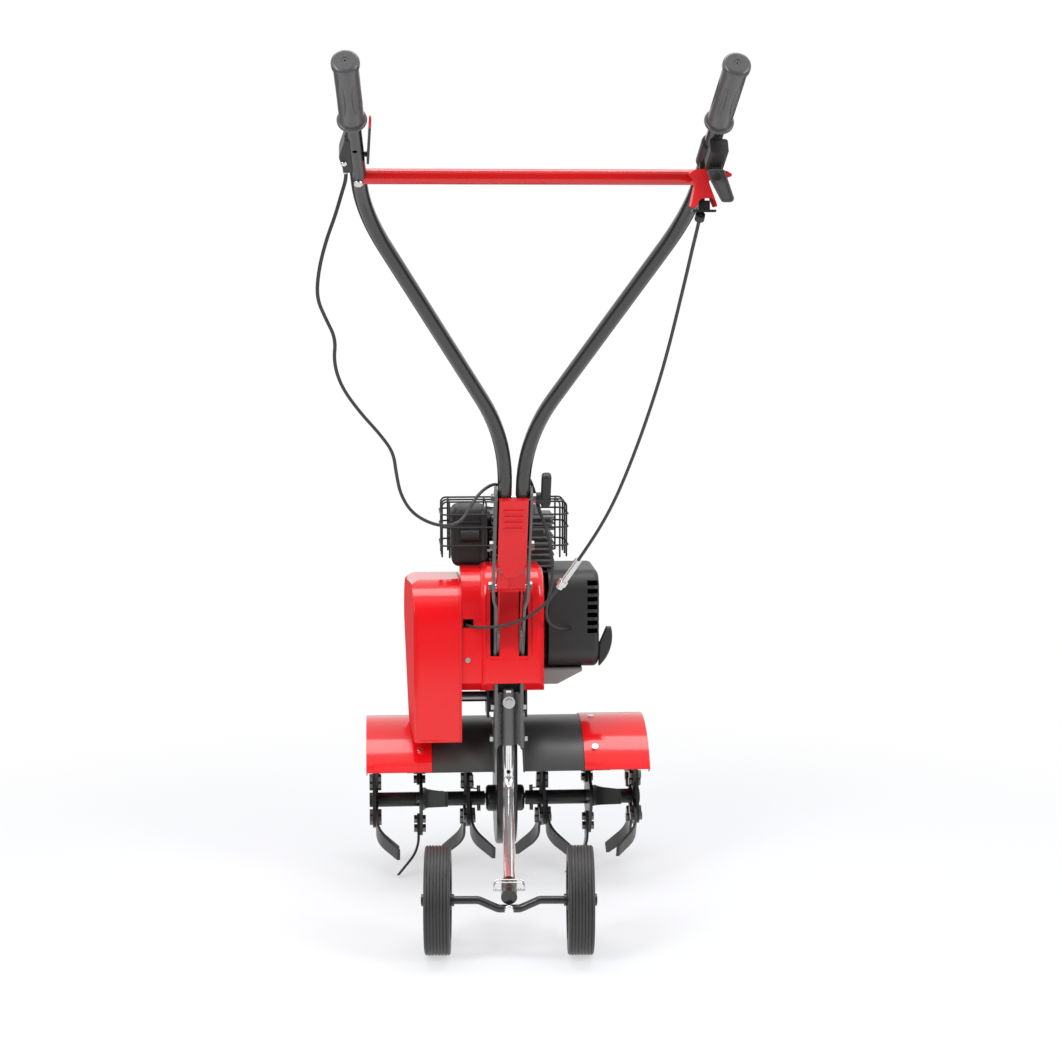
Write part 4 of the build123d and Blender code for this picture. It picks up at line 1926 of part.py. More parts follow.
def stop_lever():
    """Flat stop lever on the inner side of the left handle tube, leaning away from the grip."""
    x = -TUBE_R - CLAMP_WALL
    low = (0, STOP_LEVER_HALF - STOP_LEVER_DOWN)
    high = (0, STOP_LEVER_UP - STOP_LEVER_HALF)
    blade_face = capsule(low, STOP_LEVER_HALF, high, STOP_TIP_HALF)
    lever = Pos(x, 0, STOP_PIN_AT) * Rot(0, -STOP_LEVER_LEAN, 0) * prism(blade_face, -STOP_LEVER_T, 0)
    lever -= rod_x(x - 2 * STOP_LEVER_T, x + STOP_LEVER_T, 0, STOP_PIN_AT, STOP_PIN_R + FIT)
    return mirror(RUN.location * lever, about=Plane.YZ)


# Wheel strut and wheels, drawn straight behind the strut and then turned with it

def turned(part):
    """Part turned with the strut in its holder."""
    return Pos(0, STRUT_Y, 0) * Rot(0, 0, -STRUT_TURN) * Pos(0, -STRUT_Y, 0) * part


AXLE_Y = STRUT_Y - (WHEEL_BACK + STRUT_Y) / math.cos(math.radians(STRUT_TURN))
DIP_Z = WHEEL_R - AXLE_DIP
STRUT_BEND = Vector(0, STRUT_Y, STRUT_BEND_Z)
SOCKET_END = Vector(0, AXLE_Y, DIP_Z + AXLE_ROD_R + SOCKET_R)
STRUT_RUN = (SOCKET_END - STRUT_BEND).normalized()


def wheel_strut():
    """Chromed tube, upright in its holder and bent back to the wheel axle."""
    points = [(0, STRUT_Y, STRUT_TOP), STRUT_BEND, SOCKET_END]
    body = tube(points, STRUT_BEND_R, STRUT_R, STRUT_R - STRUT_WALL)
    rear = (0, STRUT_Y - 2 * STRUT_R, STRUT_HOLE_Z)
    body -= rod(rear, (0, STRUT_Y + 2 * STRUT_R, STRUT_HOLE_Z), STRUT_HOLE_R)
    return turned(body - socket_pin_hole())


def axle_bolt():
    """Domed bolt through the lowest part of the wheel axle."""
    return ((0, AXLE_Y - AXLE_ROD_R, DIP_Z), (0, -1, 0), AXLE_BOLT)


def socket_pin_hole():
    """Cross hole of the pin through socket and strut."""
    middle = SOCKET_END - STRUT_RUN * (SOCKET_LENGTH / 2)
    reach = Vector(SOCKET_R + DRILL_PAST, 0, 0)
    return rod(middle - reach, middle + reach, SOCKET_PIN_R + FIT)


def wheel_axle():
    """Bent axle rod with collars, and the socket welded on its middle."""
    end = TRACK_HALF + WHEEL_W / 2 + COLLAR_W + AXLE_PROUD
    points = [
        (-end, AXLE_Y, WHEEL_R),
        (-AXLE_LEVEL_X, AXLE_Y, WHEEL_R),
        (-AXLE_DIP_X, AXLE_Y, DIP_Z),
        (AXLE_DIP_X, AXLE_Y, DIP_Z),
        (AXLE_LEVEL_X, AXLE_Y, WHEEL_R),
        (end, AXLE_Y, WHEEL_R),
    ]
    rod_body = tube(points, AXLE_BEND_R, AXLE_ROD_R)
    inner = TRACK_HALF - WHEEL_W / 2 - GAP
    outer = TRACK_HALF + WHEEL_W / 2 + GAP
    collars = both_sides(rod_x(inner - COLLAR_W, inner, AXLE_Y, WHEEL_R, COLLAR_R))
    collars += both_sides(rod_x(outer, outer + COLLAR_W, AXLE_Y, WHEEL_R, COLLAR_R))
    top = SOCKET_END - STRUT_RUN * SOCKET_LENGTH
    socket = rod(top, SOCKET_END + STRUT_RUN * SOCKET_CAP, SOCKET_R) - rod(top, SOCKET_END, STRUT_R + FIT)
    return turned(drilled(rod_body + collars + socket - socket_pin_hole(), [axle_bolt()]))


def strut_clip():
    """Pin through the socket with its sprung wire loop."""
    middle = SOCKET_END - STRUT_RUN * (SOCKET_LENGTH / 2)
    pin = rod(middle - Vector(SOCKET_PIN_X, 0, 0), middle + Vector(SOCKET_PIN_X, 0, 0), SOCKET_PIN_R)
    up = Vector(0, -STRUT_RUN.Z, STRUT_RUN.Y) * -1
    lift = SOCKET_R + 2 * CLIP_WIRE_R
    left = middle - Vector(SOCKET_PIN_X - CLIP_IN, 0, 0)
    right = middle + Vector(SOCKET_PIN_X - CLIP_IN, 0, 0)
    for spread in (CLIP_SPREAD, -CLIP_SPREAD):
        rise = up * lift + STRUT_RUN * spread
        pin += tube([left, left + rise, right + rise, right], lift * CORD_TURN_SHARE, CLIP_WIRE_R)
    return turned(pin)


def wheel(side):
    """Moulded wheel with a grooved tread and dished sides."""
    half = WHEEL_W / 2
    body = rod_x(-half, half, 0, 0, WHEEL_R)
    body = fillet(body.edges().filter_by(GeomType.CIRCLE), WHEEL_EDGE)
    dish = ring_x(half - WHEEL_DISH, half, 0, 0, WHEEL_RIM_R, WHEEL_HUB_R)
    for one in both_sides(dish):
        body -= one
    for k in range(WHEEL_GROOVES):
        x = -half + WHEEL_W * (k + 1) / (WHEEL_GROOVES + 1)
        body -= ring_x(x - GROOVE_W / 2, x + GROOVE_W / 2, 0, 0, WHEEL_R + GAP, WHEEL_R - GROOVE_IN)
    body -= rod_x(-half, half, 0, 0, AXLE_ROD_R + FIT)
    return turned(Pos(side * TRACK_HALF, AXLE_Y, WHEEL_R) * body)


# Cords

def cord(points, diameter):
    """Cord along straight runs joined by arcs as wide as the runs leave room for."""
    radii = []
    for before, at, after in zip(points, points[1:], points[2:]):
        run_in = Vector(at) - Vector(before)
        run_out = Vector(after) - Vector(at)
        half_turn = math.radians(run_in.get_angle(run_out)) / 2
        radii.append(CORD_TURN_SHARE * min(run_in.length, run_out.length) / math.tan(half_turn))
    body = tube(points, radii, diameter / 2)
    length = FilletPolyline(*points, radius=radii).length
    share = body.volume / (math.pi * diameter**2 / 4 * length)
    print(f"cord length {length:.0f} mm, tightest turn {min(radii):.0f} mm, volume share {share:.3f}")
    return body


def cable_adjuster():
    """Threaded adjuster with its lock nut, on the clutch cable."""
    start = Vector(CLUTCH_CABLE[ADJUSTER_RUN])
    end = Vector(CLUTCH_CABLE[ADJUSTER_RUN + 1])
    place = Plane((start + end) / 2, z_dir=end - start).location
    body = Cylinder(ADJUSTER_R, ADJUSTER_LENGTH)
    nut = extrude(RegularPolygon(ADJUSTER_NUT / 2, 6, major_radius=False), ADJUSTER_NUT_T)
    body += Pos(0, 0, ADJUSTER_LENGTH / 4) * nut
    return place * (body - Cylinder(CLUTCH_CABLE_D / 2 + FIT, ADJUSTER_LENGTH))


# Assembly

NODES = {
    "chain_case_left": chain_case(-1),
    "chain_case_right": chain_case(1),
    "drive_chain": drive_chain(),
    "bearings": bearings(),
    "engine_bed": Compound(children=[engine_bed(), belt_backplate()]),
    "rear_bracket": Compound(children=[rear_bracket(), strut_holder()]),
    "chassis_bolts": chassis_bolts(),
    "tine_guard": tine_guard(),
    "fender_left": fender(-1),
    "fender_right": fender(1),
    "hood": hood(),
    "belt_cover": belt_cover(),
    "v_belt": v_belt(),
    "crankcase": crankcase(),
    "cylinder": Compound(children=[cylinder(), cylinder_head()]),
    "spark_plug": spark_plug(),
    "muffler": muffler(),
    "muffler_guard": muffler_guard(),
    "blower_housing": blower_housing(),
    "carburettor": carburettor(),
    "air_cleaner": air_cleaner(),
    "fuel_tank": fuel_tank(),
    "fuel_cap": fuel_cap(),
    "height_sector": height_sector(),
    "tine_shaft": set_down(tine_shaft()),
    "large_sprocket": large_sprocket(),
    "hub_left": set_down(hub(-1)),
    "hub_right": set_down(hub(1)),
    "tines_left": set_down(tines(-1)),
    "tines_right": set_down(tines(1)),
    "rotor_pins": set_down(rotor_pins()),
    "countershaft": countershaft(),
    "driven_pulley": pulley(COUNTER_Y, COUNTER_Z, DRIVEN_PULLEY_R, COUNTER_R),
    "crankshaft": crankshaft(),
    "engine_pulley": pulley(CRANK_Y, CRANK_Z, ENGINE_PULLEY_R, CRANK_R),
    "flywheel": flywheel(),
    "idler_arm": idler_arm(),
    "idler_pulley": idler_pulley(),
    "starter_handle": starter_handle(),
    "column_plates": column_plates(),
    "column_bolts": column_bolts(),
    "handle_tube_left": handle_tube(-1),
    "handle_tube_right": handle_tube(1),
    "crossbar": crossbar(),
    "grip_left": grip(-1),
    "grip_right": grip(1),
    "control_clamps": Compound(children=[control_clamp(), stop_bracket(), cable_stop()]),
    "release_slide": release_slide(),
    "clamp_lever": clamp_lever(),
    "clutch_lever": clutch_lever(),
    "throttle_lever": throttle_lever(),
    "stop_lever": stop_lever(),
    "wheel_strut": Compound(children=[wheel_strut(), strut_clip(), turned(round_bolt(*axle_bolt()))]),
    "wheel_axle": wheel_axle(),
    "wheel_left": wheel(-1),
    "wheel_right": wheel(1),
}
CORDS = {
    "stop_cord": cord(STOP_CORD, STOP_CORD_D),
    "clutch_cable": cord(CLUTCH_CABLE, CLUTCH_CABLE_D),
    "cable_adjuster": cable_adjuster(),
    "throttle_cable": cord(THROTTLE_CABLE, THROTTLE_CABLE_D),
}

# The origin goes under the middle of the machine, cords left out
whole = Compound(children=[shape.moved(Location()) for shape in NODES.values()]).bounding_box()
ORIGIN = Vector((whole.min.X + whole.max.X) / 2, (whole.min.Y + whole.max.Y) / 2, whole.min.Z)

os.makedirs("parts", exist_ok=True)
for name, shape in (NODES | CORDS).items():
    export_step(Location(-ORIGIN) * shape, f"parts/{name}.step")
size_text = f"{whole.size.X:.1f} x {whole.size.Y:.1f} x {whole.size.Z:.1f} mm"
print(f"{len(NODES) + len(CORDS)} nodes, {size_text}, origin {ORIGIN}")
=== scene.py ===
import math

import bmesh
import bpy
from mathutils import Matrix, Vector


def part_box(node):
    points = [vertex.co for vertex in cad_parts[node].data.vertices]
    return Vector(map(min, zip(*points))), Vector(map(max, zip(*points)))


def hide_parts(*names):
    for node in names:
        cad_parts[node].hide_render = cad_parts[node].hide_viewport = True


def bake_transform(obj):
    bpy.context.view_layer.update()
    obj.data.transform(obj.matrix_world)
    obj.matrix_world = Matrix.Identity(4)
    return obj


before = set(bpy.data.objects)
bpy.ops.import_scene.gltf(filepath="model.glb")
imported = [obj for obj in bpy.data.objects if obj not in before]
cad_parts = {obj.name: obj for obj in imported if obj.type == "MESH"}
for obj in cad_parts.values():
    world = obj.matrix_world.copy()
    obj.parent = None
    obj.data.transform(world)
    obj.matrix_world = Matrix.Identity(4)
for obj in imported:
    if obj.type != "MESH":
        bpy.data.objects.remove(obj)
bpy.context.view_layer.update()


# Chain case and engine bed: pressed steel sheet and plate, bolted round the rim and under the bed, powder
# coated satin black, with a fine peel in the highlights and a thinner coat along the edges. The plate on the
# left of the bed, 3 mm thick, that closes the belt cover is coated red with it.

class Wire:
    """An output of a shader node. Sums and products add Math nodes, and add() puts in any other node."""

    def __init__(self, tree, socket):
        self.tree = tree
        self.socket = socket

    def add(self, kind, sockets, out=0, **settings):
        """Node of a kind: its settings first, then its sockets by name or number, as values or wires."""
        node = self.tree.nodes.new("ShaderNode" + kind)
        for key, value in settings.items():
            setattr(node, key, value)
        for key, value in sockets.items():
            if isinstance(value, Wire):
                self.tree.links.new(value.socket, node.inputs[key])
            else:
                node.inputs[key].default_value = value
        return Wire(self.tree, node.outputs[out])

    def into(self, node, name):
        """Links the wire to a socket of a shader."""
        self.tree.links.new(self.socket, node.inputs[name])

    def between(self, first, second):
        """Colour that goes from the first to the second as the wire goes from 0 to 1."""
        return self.add("Mix", {0: self, 6: first, 7: second}, out=2, data_type="RGBA")

    def fade(self, low, high, first, last, **settings):
        """Value that goes from the first to the last as the wire goes from low to high."""
        return self.add("MapRange", {0: self, 1: low, 2: high, 3: first, 4: last}, **settings)

    def along(self, axis):
        """One coordinate of a vector."""
        return self.add("SeparateXYZ", {"Vector": self}, out=axis)

    def lumps(self, size, **sockets):
        """Noise at these coordinates, in lumps of a size in metres."""
        return self.add("TexNoise", {"Vector": self, "Scale": 1 / size, **sockets})

    def __add__(self, other):
        return self.add("Math", {0: self, 1: other}, operation="ADD")

    __radd__ = __add__

    def __rsub__(self, other):
        return self.add("Math", {0: other, 1: self}, operation="SUBTRACT")

    def __mul__(self, other):
        return self.add("Math", {0: self, 1: other}, operation="MULTIPLY")

    __rmul__ = __mul__


def surface(name, **even):
    """Material with a Principled shader: what is the same all over it is set on the shader's own sockets."""
    material = bpy.data.materials.new(name)
    material.use_nodes = True
    shader = material.node_tree.nodes["Principled BSDF"]
    for socket, value in even.items():
        shader.inputs[socket.replace("_", " ")].default_value = value
    spot = material.node_tree.nodes.new("ShaderNodeTexCoord")
    return material, shader, Wire(material.node_tree, spot.outputs["Object"])


def grained(shader, spot, eased, grain, depth):
    """Fine grain of a size and depth on the normal with eased edges."""
    bump = {"Strength": 1.0, "Distance": depth, "Height": spot.lumps(grain, Detail=3.0), "Normal": eased}
    spot.add("Bump", bump).into(shader, "Normal")


def grey(level):
    """Neutral colour of one level."""
    return (level, level, level, 1.0)


def painted(axis, operation, limit, colour):
    """Paint of another colour on one side of a limit along an axis."""
    def paint(spot, tone):
        covered = spot.add("Math", {0: spot.along(axis), 1: limit}, operation=operation)
        return covered.between(tone, colour)
    return paint


wear_gain = 5.0
side_from, side_full = 0.9, 0.98


def coat(
    name, tones, rough, patch, grain, depth, worn=None, edge=0.0008, paint=None, dull_sides=None, **even
):
    """Sprayed or moulded finish: its tone drifts, a grain stands on it, and its edges are eased and worn."""
    material, shader, spot = surface(name, **even)
    drift = spot.lumps(patch, Detail=5.0, Roughness=0.6)
    tone = drift.between(*tones)
    eased = spot.add("Bevel", {"Radius": edge}, samples=4)
    if worn is not None:
        plain = spot.add("NewGeometry", {}, out="True Normal")
        facing = spot.add("VectorMath", {0: eased, 1: plain}, out="Value", operation="DOT_PRODUCT")
        thin = spot.add("Math", {0: (1 - facing) * wear_gain, 1: 1.0}, operation="MINIMUM")
        tone = (thin * drift).between(tone, worn)
    if paint is not None:
        tone = paint(spot, tone)
    tone.into(shader, "Base Color")
    sheen = rough[0] + drift * (rough[1] - rough[0])
    if dull_sides is not None:
        plain = spot.add("NewGeometry", {}, out="True Normal")
        turned = spot.add("Math", {0: plain.along("X")}, operation="ABSOLUTE")
        sideways = turned.fade(side_from, side_full, 0.0, 1.0)
        sheen = sheen + sideways * dull_sides
        ((1 - sideways) * even["Coat_Weight"]).into(shader, "Coat Weight")
    sheen.into(shader, "Roughness")
    grained(shader, spot, eased, grain, depth)
    return material


def dress(material, *nodes):
    """Gives the CAD nodes their finish."""
    for node in nodes:
        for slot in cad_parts[node].material_slots:
            slot.material = material


satin_black = (grey(0.012), grey(0.019))
black_coat = coat(
    "satin_black_coat", satin_black, (0.30, 0.40), patch=0.05, grain=0.0016, depth=0.00006,
    worn=grey(0.06), Coat_Weight=0.15, Coat_Roughness=0.25,
)
dress(black_coat, "chain_case_left", "chain_case_right")
cover_red = (0.76, 0.004, 0.008, 1.0)
plate_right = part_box("belt_cover")[1][0] + 0.0035
bed_coat = coat(
    "bed_coat", satin_black, (0.26, 0.36), patch=0.05, grain=0.0016, depth=0.00006,
    paint=painted("X", "LESS_THAN", plate_right, cover_red), Coat_Weight=0.15, Coat_Roughness=0.25,
)
dress(bed_coat, "engine_bed")


# Bolts, screws and washers of the whole machine: turned steel, bright zinc plated, with the plating's cloudy
# crystals and fine turning marks on the heads.

def metal(name, tones, rough, patch, grain, depth, edge=0.0003, paint=None, **even):
    """Bare or plated metal: its brightness and gloss cloud over in patches, with fine marks."""
    material, shader, spot = surface(name, Metallic=1.0, **even)
    cloud = spot.lumps(patch, Detail=6.0, Roughness=0.65)
    tone = cloud.between(*tones)
    if paint is not None:
        tone = paint(spot, tone)
    tone.into(shader, "Base Color")
    (rough[0] + cloud * (rough[1] - rough[0])).into(shader, "Roughness")
    grained(shader, spot, spot.add("Bevel", {"Radius": edge}, samples=4), grain, depth)
    return material


zinc_tones = ((0.62, 0.63, 0.62, 1.0), (0.82, 0.83, 0.80, 1.0))
zinc = metal("bright_zinc", zinc_tones, (0.16, 0.34), patch=0.004, grain=0.0006, depth=0.00002)
dress(zinc, "chassis_bolts")


# Shafts, sprocket, chain and bearings inside the case: ground steel with an oil film, and hardened chain
# links. They are pressed on or keyed to their shafts before the two halves of the case are bolted together.

steel = metal("oiled_steel", (grey(0.34), grey(0.52)), (0.22, 0.42), patch=0.009, grain=0.0007, depth=0.00002)
dress(steel, "drive_chain", "bearings", "countershaft", "large_sprocket", "tine_shaft")


# Engine block: the carburettor is bare die cast aluminium with a dry grainy skin, the finned cylinder is the
# same metal stained dark by heat, and the crank case is cast too, sprayed a dull black down to its bare foot.
# The crankshaft runs in it, with the flywheel on its end.

cast = metal(
    "cast_aluminium", (grey(0.46), grey(0.62)), (0.42, 0.62), patch=0.03, grain=0.0011, depth=0.00012,
    edge=0.0006,
)
dress(cast, "carburettor")
hot_cast = metal(
    "heat_stained_cast", (grey(0.16), grey(0.27)), (0.45, 0.64), patch=0.02, grain=0.0011, depth=0.00012,
    edge=0.0006,
)
dress(hot_cast, "cylinder")
bare_below = 0.356
spray_edge = 0.006
bare_alloy = (0.24, 0.24, 0.235, 1.0)


def bare_foot(spot, tone):
    """Foot of the crank case, below the spray."""
    return spot.along("Z").fade(bare_below - spray_edge, bare_below, 1.0, 0.0).between(tone, bare_alloy)


cast_black = coat(
    "sprayed_cast_black", (grey(0.014), grey(0.022)), (0.46, 0.6), patch=0.04, grain=0.0012, depth=0.00014,
    worn=grey(0.07), paint=bare_foot,
)
dress(cast_black, "crankcase")
dress(steel, "crankshaft")
fan_alloy = metal(
    "flywheel_alloy", (grey(0.36), grey(0.5)), (0.38, 0.55), patch=0.03, grain=0.001, depth=0.0001,
)
dress(fan_alloy, "flywheel")


# Spark plug: a white glazed insulator screwed into the head, and a black rubber boot pushed over its end. The
# boot starts 16 mm in front of the head.

boot_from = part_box("spark_plug")[0][1] + 0.016
white_glaze = (0.74, 0.73, 0.70, 1.0)
boot = coat(
    "plug_boot", (grey(0.014), grey(0.022)), (0.34, 0.5), patch=0.02, grain=0.0008, depth=0.00004,
    paint=painted("Y", "LESS_THAN", boot_from, white_glaze),
)
dress(boot, "spark_plug")


# Muffler and its wire guard: pressed sheet folded round the box, and welded wire round it, both sprayed with
# a dull heat proof black.

heat_black = coat(
    "heat_proof_black", (grey(0.011), grey(0.018)), (0.42, 0.56), patch=0.03, grain=0.0009, depth=0.00006,
    worn=grey(0.05),
)
dress(heat_black, "muffler", "muffler_guard")


# Blower housing, air cleaner and fuel cap: moulded black nylon with a spark eroded grain, screwed to the
# engine. The tank is blown from a smoother plastic.

engine_plastic = coat(
    "grained_black_nylon", (grey(0.021), grey(0.030)), (0.40, 0.52), patch=0.06, grain=0.0007, depth=0.00005,
    edge=0.0012,
)
tank_plastic = coat(
    "smooth_tank_plastic", (grey(0.02), grey(0.03)), (0.3, 0.42), patch=0.08, grain=0.002, depth=0.00008,
    edge=0.002,
)
dress(engine_plastic, "blower_housing", "air_cleaner", "fuel_cap")
dress(tank_plastic, "fuel_tank")


# Belt drive behind the cover: turned pulleys on the crank and the countershaft, the idler on its arm, and the
# V belt with its cloth skin.

dress(steel, "engine_pulley", "driven_pulley", "idler_pulley")
dress(black_coat, "idler_arm")
belt_cloth = coat(
    "belt_cloth", (grey(0.01), grey(0.02)), (0.75, 0.9), patch=0.004, grain=0.0008, depth=0.0001,
)
dress(belt_cloth, "v_belt")


# Hood, belt cover and fenders: drawn steel sheet with rolled edges, powder coated a deep gloss red. The coat
# has a slow peel, which breaks up the edges of its highlights. The sides of the belt cover have a duller coat
# than its back, which keeps them red where they are seen at a slant.

red_tones = (cover_red, (0.82, 0.006, 0.010, 1.0))
red_gloss = {"Coat_Weight": 0.4, "Coat_Roughness": 0.04, "Specular_IOR_Level": 0.45}
red_coat = coat(
    "gloss_red_coat", red_tones, (0.12, 0.2), patch=0.12, grain=0.004, depth=0.00005,
    edge=0.0015, **red_gloss,
)
dress(red_coat, "hood", "fender_left", "fender_right")
cover_coat = coat(
    "cover_red_coat", red_tones, (0.12, 0.2), patch=0.12, grain=0.004, depth=0.00003,
    edge=0.003, dull_sides=0.45, **red_gloss,
)
dress(cover_coat, "belt_cover")


# Tine guard: rolled steel sheet in a dark grey powder coat, which is thin along the sheared edges. The rear
# bracket, the column plates and the toothed sector are thicker plate in a paler grey.

grey_coat = coat(
    "dark_grey_coat", (grey(0.034), grey(0.046)), (0.3, 0.42), patch=0.06, grain=0.0018, depth=0.00006,
    worn=grey(0.12), Coat_Weight=0.1, Coat_Roughness=0.3,
)
dress(grey_coat, "tine_guard")
bracket_coat = coat(
    "mid_grey_coat", (grey(0.105), grey(0.125)), (0.34, 0.46), patch=0.05, grain=0.0018, depth=0.00006,
    worn=grey(0.16), Coat_Weight=0.1, Coat_Roughness=0.3,
)
dress(bracket_coat, "rear_bracket", "column_plates", "height_sector")


# Rotor: hub tubes with welded square plates, and curved blades bolted to them, dipped in a thick black
# enamel. The hub pins and their spring clips are zinc plated, and the blade bolts, further out, are left
# phosphated.

tine_enamel = coat(
    "black_enamel", (grey(0.012), grey(0.020)), (0.28, 0.45), patch=0.03, grain=0.0025, depth=0.00012,
    worn=grey(0.10),
)
dress(tine_enamel, "hub_left", "hub_right", "tines_left", "tines_right")
shaft_low, shaft_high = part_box("tine_shaft")
axle = (Vector(shaft_low) + Vector(shaft_high)) / 2
bolts_from = 0.0235
phosphate_grey = (0.16, 0.16, 0.155, 1.0)


def phosphate(spot, tone):
    """Dark blade bolts, further from the axle than the clips."""
    arm = spot.add("VectorMath", {0: spot, 1: tuple(axle)}, operation="SUBTRACT")
    across = spot.add("VectorMath", {0: arm, 1: (0.0, 1.0, 1.0)}, operation="MULTIPLY")
    reach = spot.add("VectorMath", {0: across}, out="Value", operation="LENGTH")
    dark = spot.add("Math", {0: reach, 1: bolts_from}, operation="GREATER_THAN")
    return dark.between(tone, phosphate_grey)


pin_zinc = metal(
    "pin_zinc", zinc_tones, (0.2, 0.38), patch=0.004, grain=0.0006, depth=0.00002, paint=phosphate,
)
dress(pin_zinc, "rotor_pins")


# Handle tubes: bent steel tube, 22 mm, coated satin black. The cross bar between them is a tube coated gloss
# red, painted darker than the hood's red as painted shade, with its ends cut to the round of the tubes and
# one round bolt at each.

tube_coat = coat(
    "tube_black_coat", (grey(0.020), grey(0.028)), (0.18, 0.26), patch=0.08, grain=0.002, depth=0.00003,
    Coat_Weight=0.5, Coat_Roughness=0.1,
)
dress(tube_coat, "handle_tube_left", "handle_tube_right")
# The bar's red is darker than the hood's red: painted shade, standing in for the light the bar gets.
shaded_bar_tones = ((0.56, 0.006, 0.007, 1.0), (0.62, 0.008, 0.009, 1.0))
shaded_bar_coat = coat(
    "shaded_bar_red_coat", shaded_bar_tones, (0.10, 0.16), patch=0.12, grain=0.003, depth=0.00003,
    Coat_Weight=0.4, Coat_Roughness=0.04,
)
dress(shaded_bar_coat, "crossbar")
dress(zinc, "column_bolts")


# Grips: soft grey vinyl pushed over the tube ends, moulded with long lens shaped flutes, a lip by the hand
# and a dished end. The mould's grain dulls them.

grip_vinyl = coat(
    "grip_vinyl", (grey(0.066), grey(0.086)), (0.30, 0.42), patch=0.03, grain=0.0008, depth=0.00004,
    edge=0.0006, Coat_Weight=0.25, Coat_Roughness=0.2,
)
dress(grip_vinyl, "grip_left", "grip_right")


# Release slide, with its finger ridges, and the clutch lever: moulded red nylon with a fine grain. The slide
# runs between the column plates, and the lever turns on a pin of the right control clamp.

nylon_red = (0.66, 0.008, 0.011, 1.0)
slide_tones = (nylon_red, (0.74, 0.011, 0.014, 1.0))
red_nylon = coat("red_nylon", slide_tones, (0.32, 0.42), patch=0.03, grain=0.0006, depth=0.00004)
dress(red_nylon, "release_slide", "clutch_lever")


# Control clamps and levers: black nylon for the clamps, the quick clamp lever and the stop lever, which is
# dipped red over its last 16 mm, and a paler grey nylon for the throttle lever.

nylon_tones = (grey(0.013), grey(0.02))
black_nylon = coat("black_nylon", nylon_tones, (0.34, 0.46), patch=0.03, grain=0.0007, depth=0.00004)
dress(black_nylon, "control_clamps", "clamp_lever")
grey_nylon = coat(
    "grey_nylon", (grey(0.060), grey(0.078)), (0.36, 0.46), patch=0.03, grain=0.0007, depth=0.00004,
)
dress(grey_nylon, "throttle_lever")
dip_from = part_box("stop_lever")[1][2] - 0.016
stop_nylon = coat(
    "stop_nylon", nylon_tones, (0.34, 0.46), patch=0.03, grain=0.0007, depth=0.00004, edge=0.0006,
    paint=painted("Z", "GREATER_THAN", dip_from, nylon_red),
)
dress(stop_nylon, "stop_lever")


# Cords: the stop cord, the clutch cable and the throttle cable, each in a black vinyl sleeve. They are held
# by the handlebar above and go into the hood or the blower below.

sleeve = coat(
    "cord_sleeve", (grey(0.022), grey(0.034)), (0.34, 0.46), patch=0.02, grain=0.0012, depth=0.00003,
    edge=0.0003,
)
below_axle = Vector((axle.x, axle.y, 0.0))
cord_diameter = 0.005


def laid_cord(name, node, route, length, bend, **facts):
    """Smooth tube along a route, measured from under the tine axle, that runs from handlebar to chassis."""
    line = bpy.data.curves.new(name, "CURVE")
    line.dimensions = "3D"
    line.resolution_u = 10
    spline = line.splines.new("NURBS")
    spline.points.add(len(route) - 1)
    for point, place in zip(spline.points, route):
        point.co = (*(below_axle + Vector(place)), 1.0)
    spline.order_u = 3
    spline.use_endpoint_u = True
    drawn = bpy.data.objects.new(name + "_route", line)
    followed = bpy.data.meshes.new_from_object(drawn)
    line.bevel_depth = cord_diameter / 2
    line.bevel_resolution = 3
    line.use_fill_caps = True
    tube = bpy.data.objects.new(name, bpy.data.meshes.new_from_object(drawn))
    tube.data.polygons.foreach_set("use_smooth", [True] * len(tube.data.polygons))
    bpy.data.objects.remove(drawn)
    bpy.context.collection.objects.link(tube)
    tube.data.materials.clear()
    tube.data.materials.append(sleeve)
    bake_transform(tube)
    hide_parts(node)


stop_route = [
    (-0.2450, -0.6484, 1.1302), (-0.2443, -0.6372, 1.1232), (-0.251, -0.627, 1.103), (-0.260, -0.618, 1.074),
    (-0.273, -0.603, 1.041), (-0.284, -0.580, 1.002), (-0.288, -0.557, 0.964), (-0.276, -0.538, 0.935),
    (-0.263, -0.519, 0.907), (-0.267, -0.496, 0.874), (-0.257, -0.472, 0.838), (-0.232, -0.448, 0.801),
    (-0.203, -0.424, 0.767), (-0.184, -0.404, 0.739), (-0.180, -0.384, 0.707), (-0.174, -0.364, 0.674),
    (-0.158, -0.344, 0.645), (-0.131, -0.324, 0.626), (-0.102, -0.304, 0.618), (-0.080, -0.287, 0.625),
    (-0.066, -0.272, 0.647), (-0.050, -0.255, 0.667), (-0.026, -0.239, 0.679), (-0.008, -0.223, 0.661),
    (-0.006, -0.205, 0.626), (-0.008, -0.180, 0.590), (-0.009, -0.146, 0.566), (-0.011, -0.109, 0.562),
    (-0.012, -0.080, 0.548), (-0.012, -0.070, 0.524),
]
stop_bend = [(-0.006, -0.205, 0.626), (-0.012, -0.070, 0.524)]
laid_cord("stop_cord_line", "stop_cord", stop_route, 1.047, stop_bend, stiffness="limp", lay="hanging")
clutch_route = [
    (0.2207, -0.687, 1.0745), (0.2195, -0.671, 1.058), (0.217, -0.645, 1.033), (0.2135, -0.611, 0.996),
    (0.2085, -0.569, 0.950), (0.2025, -0.526, 0.900), (0.195, -0.483, 0.850), (0.185, -0.440, 0.799),
    (0.1735, -0.399, 0.749), (0.160, -0.360, 0.699), (0.147, -0.328, 0.658), (0.132, -0.300, 0.621),
    (0.112, -0.270, 0.581), (0.058, -0.233, 0.494), (0.025, -0.205, 0.462), (-0.004, -0.190, 0.449),
    (-0.027, -0.174, 0.443), (-0.048, -0.156, 0.439), (-0.062, -0.138, 0.438), (-0.068, -0.119, 0.438),
]
clutch_bend = [(-0.004, -0.190, 0.449), (-0.068, -0.119, 0.438)]
